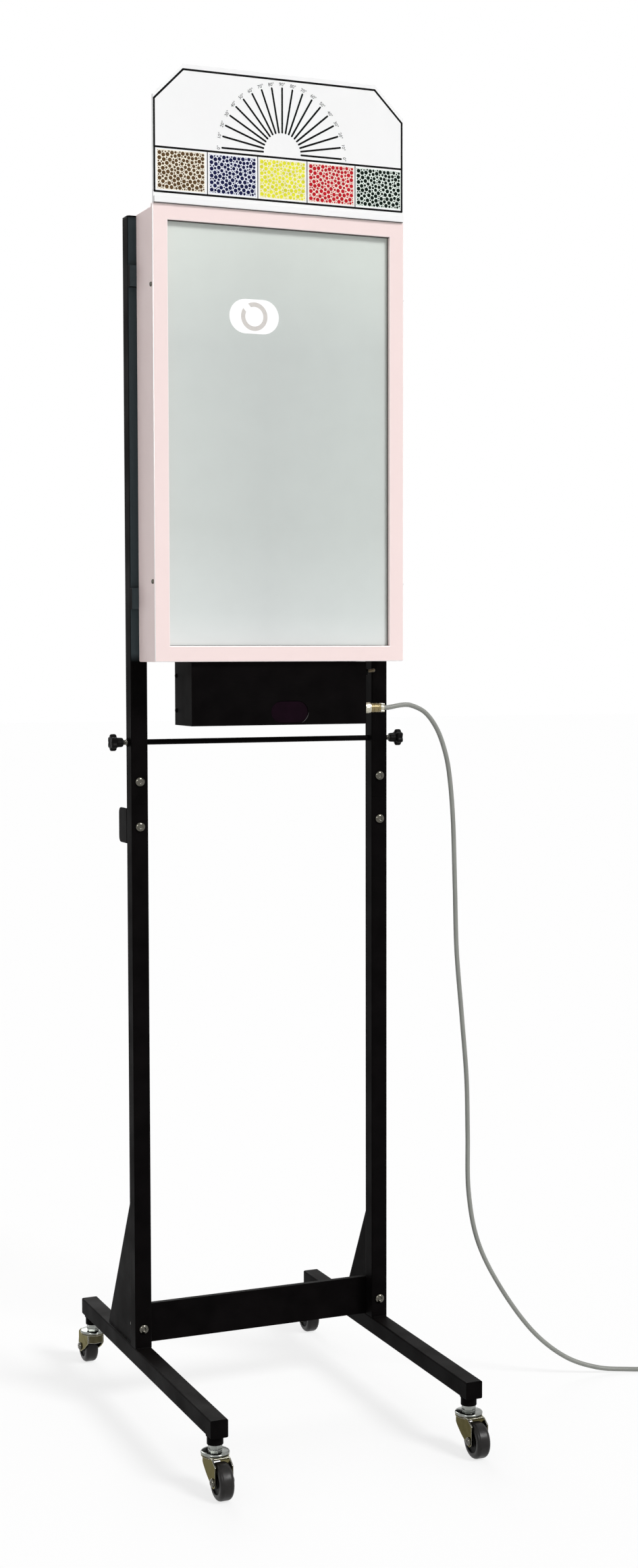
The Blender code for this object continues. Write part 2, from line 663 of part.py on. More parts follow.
def caster_fork(name, at, heading):
    """Crown plate with a turned-down lip and two arms; the trail runs along the local X axis."""
    turn = Matrix.Rotation(heading, 4, "Z")
    origin = Matrix.Translation(at) @ turn

    def spot(x, y, z):
        return origin @ Vector((x, y, z))

    def crown_outline(radius, half, reach):
        meet = math.degrees(math.asin(half / radius))
        return arc((0, 0), radius, meet, 360 - meet, 14) + [(reach, -half), (reach, half)]

    depth = CROWN_THICKNESS + CROWN_LIP
    crown = crown_outline(CROWN_RADIUS, ARM_OUTER - ARM_SEAT, CROWN_REACH)
    crown_at = spot(0, 0, CROWN_TOP - depth / 2)
    fork = extruded(name, [crown], depth, CHROME, crown_at, turn)
    room = crown_outline(CROWN_RADIUS - ARM_THICKNESS, ARM_INNER + ARM_SEAT, 2 * CROWN_REACH)
    room_at = spot(0, 0, CROWN_BOTTOM - CROWN_LIP)
    cut(fork, as_cutter(extruded(f"{name}_room", [room], 2 * CROWN_LIP, CHROME, room_at, turn)))
    pin_at = spot(0, 0, CROWN_TOP)
    cut(fork, drill(f"{name}_pin_hole", PIN_RADIUS + BORE_CLEARANCE, 4 * CROWN_THICKNESS, pin_at))
    lift = CROWN_BOTTOM + CROWN_THICKNESS / 2
    outline = [(-ARM_BACK, lift), (-ARM_BACK, CROWN_BOTTOM - ARM_DROP), ARM_BELLY]
    outline += arc((CASTER_TRAIL, AXLE_HEIGHT), ARM_END_RADIUS, 215, 360, 7)
    outline += [(CASTER_TRAIL + ARM_END_RADIUS, CROWN_BOTTOM - 2 * CROWN_THICKNESS), (CROWN_REACH, lift)]
    for arm, sign in SIDES:
        upright = turn @ UPRIGHT_FRONT
        arm_at = spot(0, sign * (ARM_INNER + ARM_THICKNESS / 2), 0)
        fuse(fork, extruded(f"{name}_{arm}_arm", [outline], ARM_THICKNESS, CHROME, arm_at, upright))
    axle_at = spot(CASTER_TRAIL, 0, AXLE_HEIGHT)
    cut(fork, drill(f"{name}_axle_hole", AXLE_RADIUS + BORE_CLEARANCE, 4 * ARM_OUTER, axle_at, turn @ ALONG_FRONT))


def caster_wheel(name, at, turn):
    """Tyre, dished web and hub in one turned ring."""
    half = WHEEL_WIDTH / 2
    bore = AXLE_RADIUS + BORE_CLEARANCE
    rim = WHEEL_RADIUS - WHEEL_RIM
    upper = arc((WHEEL_RADIUS - WHEEL_SHOULDER, half - WHEEL_SHOULDER), WHEEL_SHOULDER, 90, 0, 3)
    lower = [
        (rim, -half),
        (rim - WHEEL_DISH, -half + WHEEL_DISH),
        (WHEEL_HUB_RADIUS, -half + WHEEL_DISH),
        (WHEEL_HUB_RADIUS, -half),
        (bore, -half),
    ]
    profile = upper + [(radius, -height) for radius, height in reversed(upper)]
    profile += lower + [(radius, -height) for radius, height in reversed(lower)]
    turned(name, profile, RUBBER, 20, ring=True, at=at, turn=turn)


def caster_axle(name, at, turn):
    """Round axle with a domed head outside each arm."""
    start = ARM_OUTER + GAP
    end = start + AXLE_HEAD_HEIGHT
    half = [
        (0, end),
        (AXLE_HEAD_RADIUS * 0.6, end),
        (AXLE_HEAD_RADIUS, start + AXLE_HEAD_HEIGHT * 0.4),
        (AXLE_HEAD_RADIUS, start),
        (AXLE_RADIUS, start),
    ]
    profile = half + [(radius, -height) for radius, height in reversed(half)]
    turned(name, profile, BRIGHT_STEEL, 12, at=at, turn=turn)


def casters():
    for side, sign in SIDES:
        for end, way in ENDS:
            name = f"{end}_{side}_caster"
            at = (sign * POST_SPACING / 2, way * CASTER_REACH, 0)
            heading = way * math.pi / 2
            caster_stem(f"{name}_stem", at)
            caster_fork(f"{name}_fork", at, heading)
            axle_at = (at[0], at[1] + way * CASTER_TRAIL, AXLE_HEIGHT)
            caster_wheel(f"{name}_wheel", axle_at, ALONG_X)
            caster_axle(f"{name}_axle", axle_at, ALONG_X)


def box_ring(name, outer, hole, front, depth, look):
    """Upright rectangular ring of the light box, from its front face back."""
    middle = BOX_BOTTOM + BOX_HEIGHT / 2
    at = (0, front + depth / 2, middle)
    return extruded(name, [outer, hole], depth, look, at, UPRIGHT_FRONT)


def light_box():
    """Rear tray, front bezel with its flange and return, screen, cell walls and lamp board."""
    opening = (BOX_WIDTH - 2 * BEZEL_BORDER, BOX_HEIGHT - 2 * BEZEL_BORDER)
    face = rounded(BOX_WIDTH, BOX_HEIGHT, BOX_CORNER, 2)
    window = rectangle(*opening)
    bezel = box_ring("front_bezel", face, window, BOX_FRONT, SHEET, PINK_PAINT)
    flange = rectangle(BOX_WIDTH - 2 * SHEET, BOX_HEIGHT - 2 * SHEET)
    fuse(bezel, box_ring("bezel_flange", face, flange, BOX_FRONT, BEZEL_FLANGE, PINK_PAINT))
    lip = rectangle(opening[0] + 2 * SHEET, opening[1] + 2 * SHEET)
    fuse(bezel, box_ring("bezel_return", lip, window, BOX_FRONT, BEZEL_RECESS, PINK_PAINT))

    wrap = SHEET + GAP
    tray_low = Vector((-BOX_WIDTH / 2 + wrap, BOX_FRONT + SHEET + GAP, BOX_BOTTOM + wrap))
    tray_high = Vector((BOX_WIDTH / 2 - wrap, BOX_BACK, BOX_TOP - wrap))
    tray = block("light_box_tray", tray_low, tray_high, PINK_PAINT)
    room_low = tray_low + Vector((SHEET, -BOX_DEPTH, SHEET))
    room_high = tray_high - Vector((SHEET, SHEET, SHEET))
    cut(tray, cutter_block("tray_room", room_low, room_high))
    wire_at = (0, BOX_BACK - SHEET - WIRE_HOLE, BOX_BOTTOM)
    cut(tray, drill("tray_wire_hole", WIRE_HOLE / 2, 4 * WIRE_HOLE, wire_at))

    sheet_size = (opening[0] + 2 * SCREEN_LAP, opening[1] + 2 * SCREEN_LAP)
    middle = BOX_BOTTOM + BOX_HEIGHT / 2
    screen_at = (0, SCREEN_FRONT + SCREEN_THICKNESS / 2, middle)
    extruded("screen", [rectangle(*sheet_size)], SCREEN_THICKNESS, FROSTED, screen_at, UPRIGHT_FRONT)

    board_front = BOX_BACK - SHEET - GAP - LAMP_BOARD
    board_at = (0, board_front + LAMP_BOARD / 2, middle)
    extruded("lamp_board", [rectangle(*sheet_size)], LAMP_BOARD, GREEN_BOARD, board_at, UPRIGHT_FRONT)
    walls_front = SCREEN_FRONT + SCREEN_THICKNESS + GAP
    walls_depth = board_front - GAP - walls_front
    walls_at = (0, walls_front + walls_depth / 2, middle)
    loops = [rectangle(*sheet_size)] + baffle_cells(sheet_size)
    extruded("light_baffle", loops, walls_depth, WHITE_PLASTIC, walls_at, UPRIGHT_FRONT)


def baffle_cells(size):
    """Holes of the cell grid, one for each lit figure."""
    cell_width = (size[0] - BAFFLE_WALL) / BAFFLE_COLUMNS - BAFFLE_WALL
    cell_height = (size[1] - BAFFLE_WALL) / BAFFLE_ROWS - BAFFLE_WALL
    cells = []
    for column in range(BAFFLE_COLUMNS):
        for row in range(BAFFLE_ROWS):
            x = (column - (BAFFLE_COLUMNS - 1) / 2) * (cell_width + BAFFLE_WALL)
            y = (row - (BAFFLE_ROWS - 1) / 2) * (cell_height + BAFFLE_WALL)
            cells.append(rectangle(cell_width, cell_height, (x, y)))
    return cells


def mount_bars():
    """Flat bars that carry the light box on the fronts of the posts."""
    width = POST_SPACING + TUBE
    heights = {"lower": BOX_BOTTOM + MOUNT_BAR_INSET, "upper": BOX_TOP - MOUNT_BAR_INSET}
    for level, height in heights.items():
        at = (0, BOX_BACK + GAP + MOUNT_BAR_THICKNESS / 2, height)
        outline = [rectangle(width, MOUNT_BAR_HEIGHT)]
        extruded(f"{level}_mount_bar", outline, MOUNT_BAR_THICKNESS, BLACK_PAINT, at, UPRIGHT_FRONT)


def dial_panel():
    """White board with clipped upper corners, and the angle strip that stands it on the box."""
    half, tall, clip = PANEL_WIDTH / 2, PANEL_HEIGHT, PANEL_CHAMFER
    outline = [
        (-half, 0),
        (half, 0),
        (half, tall - clip),
        (half - clip, tall),
        (clip - half, tall),
        (-half, tall - clip),
    ]
    at = (0, BOX_FRONT + PANEL_THICKNESS / 2, BOX_TOP + GAP)
    extruded("dial_panel", [outline], PANEL_THICKNESS, WHITE_BOARD, at, UPRIGHT_FRONT)
    angle = [
        (0, 0),
        (FOOT_LEG, 0),
        (FOOT_LEG, FOOT_SHEET),
        (FOOT_SHEET, FOOT_SHEET),
        (FOOT_SHEET, FOOT_LEG),
        (0, FOOT_LEG),
    ]
    foot_at = (0, BOX_FRONT + PANEL_THICKNESS + GAP, BOX_TOP + GAP)
    extruded("panel_foot", [angle], PANEL_WIDTH - 2 * FOOT_INSET, WHITE_BOARD, foot_at, UPRIGHT_SIDE)


def pill(length, height, count=8):
    """Slot outline about the origin, with round ends."""
    radius = height / 2
    reach = length / 2 - radius
    return arc((reach, 0), radius, -90, 90, count) + arc((-reach, 0), radius, 90, 270, count)


def control_box():
    """Case open at the back, its cover pan, the receiver window and the circuit board."""
    low = Vector((-CONTROL_SIDE, CONTROL_FRONT, CONTROL_BOTTOM))
    high = Vector((CONTROL_SIDE, CONTROL_BACK, CONTROL_TOP))
    case = block("control_case", low, high, BLACK_PAINT)
    inset = Vector((SHEET, SHEET, SHEET))
    cut(case, cutter_block("control_room", low + inset, high + Vector((-SHEET, CONTROL_DEPTH, -SHEET))))
    window_at = (WINDOW_OFFSET, CONTROL_FRONT, CONTROL_BOTTOM + WINDOW_RISE)
    fit = 2 * GAP
    hole = pill(WINDOW_LENGTH + fit, WINDOW_HEIGHT + fit)
    cut(case, as_cutter(extruded("window_hole", [hole], 6 * SHEET, BLACK_PAINT, window_at, UPRIGHT_FRONT)))
    wire_at = (0, BOX_BACK - SHEET - WIRE_HOLE, CONTROL_TOP)
    cut(case, drill("control_wire_hole", WIRE_HOLE / 2, 4 * SHEET, wire_at))
    wall_reach = 6 * SHEET
    toggle_bore = TOGGLE_BUSH_RADIUS + BORE_CLEARANCE
    cut(case, drill("toggle_hole", toggle_bore, wall_reach, toggle_spot(), ALONG_X, 20))
    socket_bore = SOCKET_BARREL_RADIUS + BORE_CLEARANCE
    cut(case, drill("socket_hole", socket_bore, wall_reach, connector_spot(), ALONG_X, 20))

    fold = SHEET + GAP
    cover_low = low + Vector((fold, CONTROL_DEPTH - COVER_LIP, fold))
    cover_high = high + Vector((-fold, 0, -fold))
    cover = block("control_cover", cover_low, cover_high, BLACK_PAINT)
    pan_low = cover_low + Vector((SHEET, -COVER_LIP, SHEET))
    pan_high = cover_high - Vector((SHEET, SHEET, SHEET))
    cut(cover, cutter_block("cover_pan", pan_low, pan_high))

    lens_depth = WINDOW_BULGE + SHEET + GAP
    lens_at = Vector(window_at) + Vector((0, lens_depth / 2 - WINDOW_BULGE, 0))
    lens_outline = [pill(WINDOW_LENGTH, WINDOW_HEIGHT)]
    lens = extruded("receiver_window", lens_outline, lens_depth, DARK_WINDOW, lens_at, UPRIGHT_FRONT)
    lap_at = Vector(window_at) + Vector((0, SHEET + GAP + SHEET / 2, 0))
    lap_outline = [pill(WINDOW_LENGTH + 2 * WINDOW_LAP, WINDOW_HEIGHT + 2 * WINDOW_LAP)]
    fuse(lens, extruded("window_lap", lap_outline, SHEET, DARK_WINDOW, lap_at, UPRIGHT_FRONT))

    board_bottom = CONTROL_TOP - SHEET - GAP - BOARD_THICKNESS - BOARD_RISE
    middle = (CONTROL_FRONT + CONTROL_BACK) / 2
    board_low = (-BOARD_LENGTH / 2, middle - BOARD_DEPTH / 2, board_bottom)
    board_high = (BOARD_LENGTH / 2, middle + BOARD_DEPTH / 2, board_bottom + BOARD_THICKNESS)
    board = block("control_board", board_low, board_high, GREEN_BOARD)
    for side, sign in SIDES:
        for end, way in ENDS:
            post_at = (
                sign * (BOARD_LENGTH / 2 - BOARD_RISE / 2),
                middle + way * (BOARD_DEPTH / 2 - BOARD_RISE / 2),
                board_bottom + BOARD_THICKNESS / 2 + (BOARD_RISE + BOARD_THICKNESS / 2) / 2,
            )
            length = BOARD_RISE + BOARD_THICKNESS / 2
            spacer = extruded(f"board_spacer_{side}_{end}", [circle(BOARD_RISE / 3, 8)], length, GREEN_BOARD, post_at)
            fuse(board, spacer)


def toggle_spot():
    return Vector((CONTROL_SIDE, CONTROL_FRONT + TOGGLE_FROM_FRONT, CONTROL_BOTTOM + TOGGLE_RISE))


def connector_spot():
    return Vector((CONTROL_SIDE, CONTROL_FRONT + CONNECTOR_FROM_FRONT, CONTROL_BOTTOM + CONNECTOR_RISE))


def toggle_pivot():
    return toggle_spot() + Vector((TOGGLE_BUSH_LENGTH - TOGGLE_PIVOT_DEPTH, 0, 0))


def toggle_switch():
    """Bushed switch in the right end of the control box, and its tapered lever."""
    inside = -SHEET - GAP
    mouth_depth = TOGGLE_PIVOT_DEPTH + TOGGLE_BALL_RADIUS + 2 * GAP
    profile = [
        (TOGGLE_BUSH_BORE, TOGGLE_BUSH_LENGTH),
        (TOGGLE_BUSH_RADIUS, TOGGLE_BUSH_LENGTH),
        (TOGGLE_BUSH_RADIUS, GAP + TOGGLE_NUT_LENGTH),
        (TOGGLE_NUT_RADIUS, GAP + TOGGLE_NUT_LENGTH),
        (TOGGLE_NUT_RADIUS, GAP),
        (TOGGLE_BUSH_RADIUS, GAP),
        (TOGGLE_BUSH_RADIUS, inside - TOGGLE_CASE / 4),
        (0, inside - TOGGLE_CASE / 4),
        (0, TOGGLE_BUSH_LENGTH - mouth_depth),
        (TOGGLE_BUSH_BORE, TOGGLE_BUSH_LENGTH - mouth_depth),
    ]
    switch = turned("toggle_switch", profile, BRIGHT_STEEL, 20, ring=True, at=toggle_spot(), turn=ALONG_X)
    spot = toggle_spot()
    half = Vector((0, TOGGLE_CASE / 2, TOGGLE_CASE / 2))
    high = spot + Vector((inside, 0, 0)) + half
    low = spot + Vector((inside - TOGGLE_CASE_LENGTH, 0, 0)) - half
    fuse(switch, block("toggle_body", low, high, BLACK_PLASTIC))

    ball = [
        (TOGGLE_BALL_RADIUS * math.sin(math.radians(a)), TOGGLE_BALL_RADIUS * math.cos(math.radians(a)))
        for a in (40, 65, 90, 115, 140)
    ]
    shoulder = TOGGLE_LENGTH - TOGGLE_TIP_RADIUS
    lever = [
        (0, TOGGLE_LENGTH),
        (TOGGLE_TIP_RADIUS * 0.7, shoulder + TOGGLE_TIP_RADIUS * 0.7),
        (TOGGLE_TIP_RADIUS, shoulder),
        (TOGGLE_NECK_RADIUS, ball[0][1]),
    ]
    profile = lever + ball[1:] + [(0, -TOGGLE_BALL_RADIUS)]
    tilt = Matrix.Rotation(-TOGGLE_TILT, 4, "Y") @ ALONG_X
    turned("toggle_lever", profile, BRIGHT_STEEL, 16, at=toggle_pivot(), turn=tilt)


def connector():
    """Panel socket in the control box and the cable plug screwed onto it."""
    flange_start = GAP
    flange_end = GAP + SOCKET_FLANGE_LENGTH
    barrel_end = flange_end + SOCKET_BARREL_LENGTH
    tail_end = -SHEET - SOCKET_TAIL_LENGTH
    profile = [
        (0, barrel_end),
        (SOCKET_BARREL_RADIUS, barrel_end),
        (SOCKET_BARREL_RADIUS, flange_end),
        (SOCKET_FLANGE_RADIUS, flange_end),
        (SOCKET_FLANGE_RADIUS, flange_start),
        (SOCKET_BARREL_RADIUS, flange_start),
        (SOCKET_BARREL_RADIUS, tail_end),
        (0, tail_end),
    ]
    turned("connector_socket", profile, NICKEL, 20, at=connector_spot(), turn=ALONG_X)
    bore = SOCKET_BARREL_RADIUS + BORE_CLEARANCE
    start = flange_end + GAP
    ring_end = start + RING_LENGTH
    sleeve_end = ring_end + SLEEVE_LENGTH
    profile = [
        (0, sleeve_end + CLAMP_LENGTH),
        (CLAMP_RADIUS, sleeve_end + CLAMP_LENGTH),
        (CLAMP_RADIUS, sleeve_end),
        (SLEEVE_RADIUS, sleeve_end - CLAMP_LENGTH / 2),
        (SLEEVE_RADIUS, ring_end),
        (RING_RADIUS, ring_end),
        (RING_RADIUS, start),
        (bore, start),
        (bore, barrel_end + GAP),
        (0, barrel_end + GAP),
    ]
    turned("connector_plug", profile, NICKEL, 20, at=connector_spot(), turn=ALONG_X)
    return connector_spot() + Vector((sleeve_end + CLAMP_LENGTH + GAP, 0, 0))


def smooth_route(knots, count):
    """Points along a smooth curve through the knots, evenly spaced by arc length."""
    fine = []
    for i in range(len(knots) - 1):
        before = knots[max(i - 1, 0)]
        start, end = knots[i], knots[i + 1]
        after = knots[min(i + 2, len(knots) - 1)]
        for step in range(ROUTE_STEPS):
            t = step / ROUTE_STEPS
            fine.append(
                0.5
                * (
                    2 * start
                    + (end - before) * t
                    + (2 * before - 5 * start + 4 * end - after) * t * t
                    + (3 * start - before - 3 * end + after) * t * t * t
                )
            )
    fine.append(knots[-1])
    lengths = [0.0]
    for a, b in zip(fine, fine[1:]):
        lengths.append(lengths[-1] + (b - a).length)
    points = []
    place = 0
    for i in range(count):
        goal = lengths[-1] * i / (count - 1)
        while place < len(fine) - 2 and lengths[place + 1] < goal:
            place += 1
        span = lengths[place + 1] - lengths[place]
        points.append(fine[place].lerp(fine[place + 1], (goal - lengths[place]) / span))
    return points


def tube_along(name, points, resolution):
    """Round cord along a path of points, with closed ends."""
    curve = bpy.data.curves.new(name, "CURVE")
    curve.dimensions = "3D"
    curve.bevel_depth = CORD_RADIUS
    curve.bevel_resolution = resolution
    curve.use_fill_caps = True
    spline = curve.splines.new("POLY")
    spline.points.add(len(points) - 1)
    for point, place in zip(spline.points, points):
        point.co = (*place, 1)
    curve.materials.append(CORD_VINYL)
    made = bpy.data.objects.new(name, curve)
    PARTS.objects.link(made)


def coil_path():
    """One unbroken run: in on the lower layer, a climb, out on the upper layer, then the tail."""
    total = round(COIL_TURNS * COIL_POINTS)
    reverse = total / 2
    climb = COIL_POINTS / 4
    outer = COIL_MEAN_RADIUS + COIL_STEP * COIL_TURNS / 4
    low = CORD_RADIUS + COIL_LIFT
    points = []
    for i in range(total + 1):
        angle = math.pi + math.tau * i / COIL_POINTS
        inward = min(i, total - i) / COIL_POINTS
        rise = min(max((i - reverse + climb) / (2 * climb), 0.0), 1.0)
        radius = outer - COIL_STEP * inward
        height = low + COIL_STEP * rise * rise * (3 - 2 * rise)
        x = COIL_CENTRE.x + radius * math.cos(angle)
        y = COIL_CENTRE.y + radius * math.sin(angle)
        points.append(Vector((x, y, height)))
    lead = Vector((0, 2 * CORD_RADIUS, 0))
    return [points[0] + lead] + points


def coil_tail(points):
    """From the coil's last point straight on and down to the plug's height."""
    end = points[-1]
    heading = (end - points[-2]).normalized()
    heading.z = 0
    drop = end.z - PLUG_HEIGHT / 2
    tail = []
    for i in range(1, 9):
        share = i / 8
        ease = min(max((share - 0.3) / 0.5, 0.0), 1.0)
        tail.append(end + heading * (COIL_TAIL * share) - Vector((0, 0, drop * ease * ease * (3 - 2 * ease))))
    return tail, heading


def least_gap(points):
    """Least surface distance between loops of a path that are more than a third of a turn apart."""
    apart = COIL_POINTS // 3
    best = math.inf
    for i, a in enumerate(points):
        for j in range(i + apart, len(points) - 1):
            b, c = points[j], points[j + 1]
            along = max(0.0, min(1.0, (a - b).dot(c - b) / (c - b).length_squared))
            best = min(best, (a - b.lerp(c, along)).length)
    return best - 2 * CORD_RADIUS


def path_length(points):
    return sum((b - a).length for a, b in zip(points, points[1:]))


def cord(start):
    """Free cord, put-away coil, its tie and the mains plug."""
    coil = coil_path()
    tail, heading = coil_tail(coil)
    coil_run = coil + tail
    tube_along("cord_coil", coil_run, 1)
    meet = coil[0] + Vector((0, GAP, 0))
    straight = 2 * CORD_RADIUS
    knots = [start, start + Vector((straight, 0, 0))]
    knots += [Vector(point) for point in CORD_ROUTE]
    knots += [meet + Vector((0, straight, 0)), meet]
    free = smooth_route(knots, CORD_POINTS)
    free[1] = start + Vector((straight, 0, 0))
    free[-2] = meet + Vector((0, straight, 0))
    tube_along("power_cord", free, 2)
    print(f"least gap between coil loops {least_gap(coil_run) * 1000:.2f} mm")
    print(f"free cord {path_length(free):.3f} m, coil and tail {path_length(coil_run):.3f} m")
    coil_tie(coil)
    mains_plug(tail[-1], heading)


def coil_tie(coil):
    """Flat strap round the bundle of loops, near where the cord enters."""
    crossing = coil[1 + TIE_POINT :: COIL_POINTS]
    reaches = [(point.xy - COIL_CENTRE).length for point in crossing]
    heights = [point.z for point in crossing]
    around = 2 * (CORD_RADIUS + TIE_EASE)
    width = max(reaches) - min(reaches) + around
    height = max(heights) - min(heights) + around
    wrap = 2 * TIE_THICKNESS
    outer = rounded(width + wrap, height + wrap, CORD_RADIUS)
    inner = rounded(width, height, CORD_RADIUS - TIE_THICKNESS)
    angle = math.pi + math.tau * TIE_POINT / COIL_POINTS
    spot = (max(reaches) + min(reaches)) / 2 * Vector((math.cos(angle), math.sin(angle)))
    at = (COIL_CENTRE.x + spot.x, COIL_CENTRE.y + spot.y, (max(heights) + min(heights)) / 2)
    turn = Matrix.Rotation(angle, 4, "Z") @ UPRIGHT_FRONT
    extruded("coil_tie", [outer, inner], TIE_WIDTH, TIE_NYLON, at, turn)


def mains_plug(cord_end, heading):
    """Two-blade plug lying at the end of the cord."""
    turn = Matrix.Rotation(math.atan2(heading.y, heading.x), 4, "Z")
    start = cord_end + heading * GAP
    origin = Matrix.Translation(start) @ turn
    outline = rounded(PLUG_WIDTH, PLUG_HEIGHT, PLUG_HEIGHT * 0.3)
    body_at = origin @ Vector((PLUG_NECK_LENGTH + PLUG_LENGTH / 2, 0, 0))
    along = turn @ ALONG_X @ Matrix.Rotation(math.pi / 2, 4, "Z")
    plug = extruded("mains_plug", [outline], PLUG_LENGTH, BLACK_PLASTIC, body_at, along)
    neck_end = PLUG_NECK_LENGTH + PLUG_LENGTH / 4
    neck = [
        (0, neck_end),
        (PLUG_NECK_RADIUS * 1.25, neck_end),
        (PLUG_NECK_RADIUS, 0),
        (0, 0),
    ]
    fuse(plug, turned("plug_neck", neck, BLACK_PLASTIC, 16, at=start, turn=turn @ ALONG_X))
    for side, sign in SIDES:
        length = BLADE_LENGTH + PLUG_LENGTH / 4
        reach = PLUG_NECK_LENGTH + PLUG_LENGTH + BLADE_LENGTH - length / 2
        blade_at = origin @ Vector((reach, sign * BLADE_PITCH / 2, 0))
        outline = [rectangle(BLADE_THICKNESS, BLADE_WIDTH)]
        fuse(plug, extruded(f"plug_{side}_blade", outline, length, BRIGHT_STEEL, blade_at, along))


for side_name, side_sign in SIDES:
    foot_rail(side_name, side_sign)
    post(side_name, side_sign)
    gusset(side_name, side_sign)
    star_knob(side_name, side_sign)
cross_plate()
post_bolts()
tie_rod()
rear_bracket()
casters()
light_box()
mount_bars()
dial_panel()
control_box()
toggle_switch()
cord(connector())
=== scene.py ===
import json
import random
from math import acos, asin, atan2, cos, degrees, pi, radians, sin, sqrt, tau

import bmesh
import bpy
import numpy as np
from mathutils import Matrix, Vector


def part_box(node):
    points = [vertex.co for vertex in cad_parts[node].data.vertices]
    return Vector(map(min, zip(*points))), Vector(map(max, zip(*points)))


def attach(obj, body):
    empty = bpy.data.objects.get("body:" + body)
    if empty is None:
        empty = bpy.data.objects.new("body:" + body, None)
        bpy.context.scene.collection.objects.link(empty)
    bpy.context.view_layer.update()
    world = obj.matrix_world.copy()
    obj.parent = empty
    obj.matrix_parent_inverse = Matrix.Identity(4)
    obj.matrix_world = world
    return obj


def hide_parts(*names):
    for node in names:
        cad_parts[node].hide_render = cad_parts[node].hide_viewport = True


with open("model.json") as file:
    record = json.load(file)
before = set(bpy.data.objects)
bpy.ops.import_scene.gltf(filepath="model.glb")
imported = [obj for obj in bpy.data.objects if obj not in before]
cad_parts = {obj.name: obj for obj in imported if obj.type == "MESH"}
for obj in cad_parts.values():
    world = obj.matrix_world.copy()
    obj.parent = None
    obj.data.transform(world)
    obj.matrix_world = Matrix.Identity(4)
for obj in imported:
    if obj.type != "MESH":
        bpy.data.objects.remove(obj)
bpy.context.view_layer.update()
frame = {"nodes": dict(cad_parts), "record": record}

# Camera: picture height and focal length in pixels, the eye's place, its turns in degrees
IMAGE_HEIGHT = 2323
FOCAL = 3174.2
SENSOR = 36.0
EYE = (-1.1487, -2.9074, 1.121)
YAW = 22.922
PITCH = 3.552
ROLL = 0.111

# Light
WORLD_LIGHT = 0.33
FLOOR_REACH = 30
FLOOR_SHARE = 0.7
FLOOR_GLOW = 1.07
LIGHT_TARGET = Vector((0, 0, 1.1))

# Sizes shared with the solids
GAP = 0.0003
SHEET = 0.0012
TUBE = 0.025
POST_X = 0.189
POST_Y = 0.035
POST_BACK = POST_Y + TUBE / 2
CROSS_BOLT_HEIGHT = 0.1336
ROD_HEIGHT = 0.9905
CONTROL_SIDE = 0.135
BEZEL_LOW, BEZEL_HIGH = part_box("front_bezel")
BOX_FRONT, BOX_LOW = BEZEL_LOW.yz
BOX_SIDE, BOX_HIGH = BEZEL_HIGH.xz
BOX_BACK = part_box("light_box_tray")[1].y
SIDES = (("left", -1), ("right", 1))
ENDS = (("front", -1), ("rear", 1))


def spin(turn, axis):
    return Matrix.Rotation(radians(turn), 4, axis)


def moved(*at):
    return Matrix.Translation(at if len(at) > 1 else at[0])


def middle(node):
    low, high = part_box(node)
    return (low + high) / 2


def placed(name, data):
    made = bpy.data.objects.new(name, data)
    bpy.context.scene.collection.objects.link(made)
    return made


# Turns that face +Z to the front, the rear, the right, and away from the middle
FACE_FRONT = spin(90, "X")
FACE_REAR = spin(-90, "X")
ALONG_X = spin(90, "Y")
OUTWARD = {"left": spin(-90, "Y"), "right": ALONG_X}
# Turn that lays an outline of (y, z) across the object
FACE_SIDE = Matrix(((0, 0, 1), (1, 0, 0), (0, 1, 0))).to_4x4()


def make_camera():
    lens = bpy.data.cameras.new("camera")
    lens.sensor_fit = "VERTICAL"
    lens.sensor_height = SENSOR
    lens.lens = FOCAL / IMAGE_HEIGHT * SENSOR
    lens.clip_end = 120
    camera = placed("camera", lens)
    camera.matrix_world = moved(EYE) @ spin(-YAW, "Z") @ spin(90 - PITCH, "X") @ spin(-ROLL, "Z")
    bpy.context.scene.camera = camera


# Looks

def add(tree, kind, out, sockets=(), **settings):
    """One output of a new shader node, its sockets fed by values or other outputs."""
    made = tree.nodes.new(f"ShaderNode{kind}")
    for key, value in settings.items():
        setattr(made, key, value)
    for key, value in dict(sockets).items():
        if isinstance(value, bpy.types.NodeSocket):
            tree.links.new(value, made.inputs[key])
        else:
            made.inputs[key].default_value = value
    return made.outputs[out]


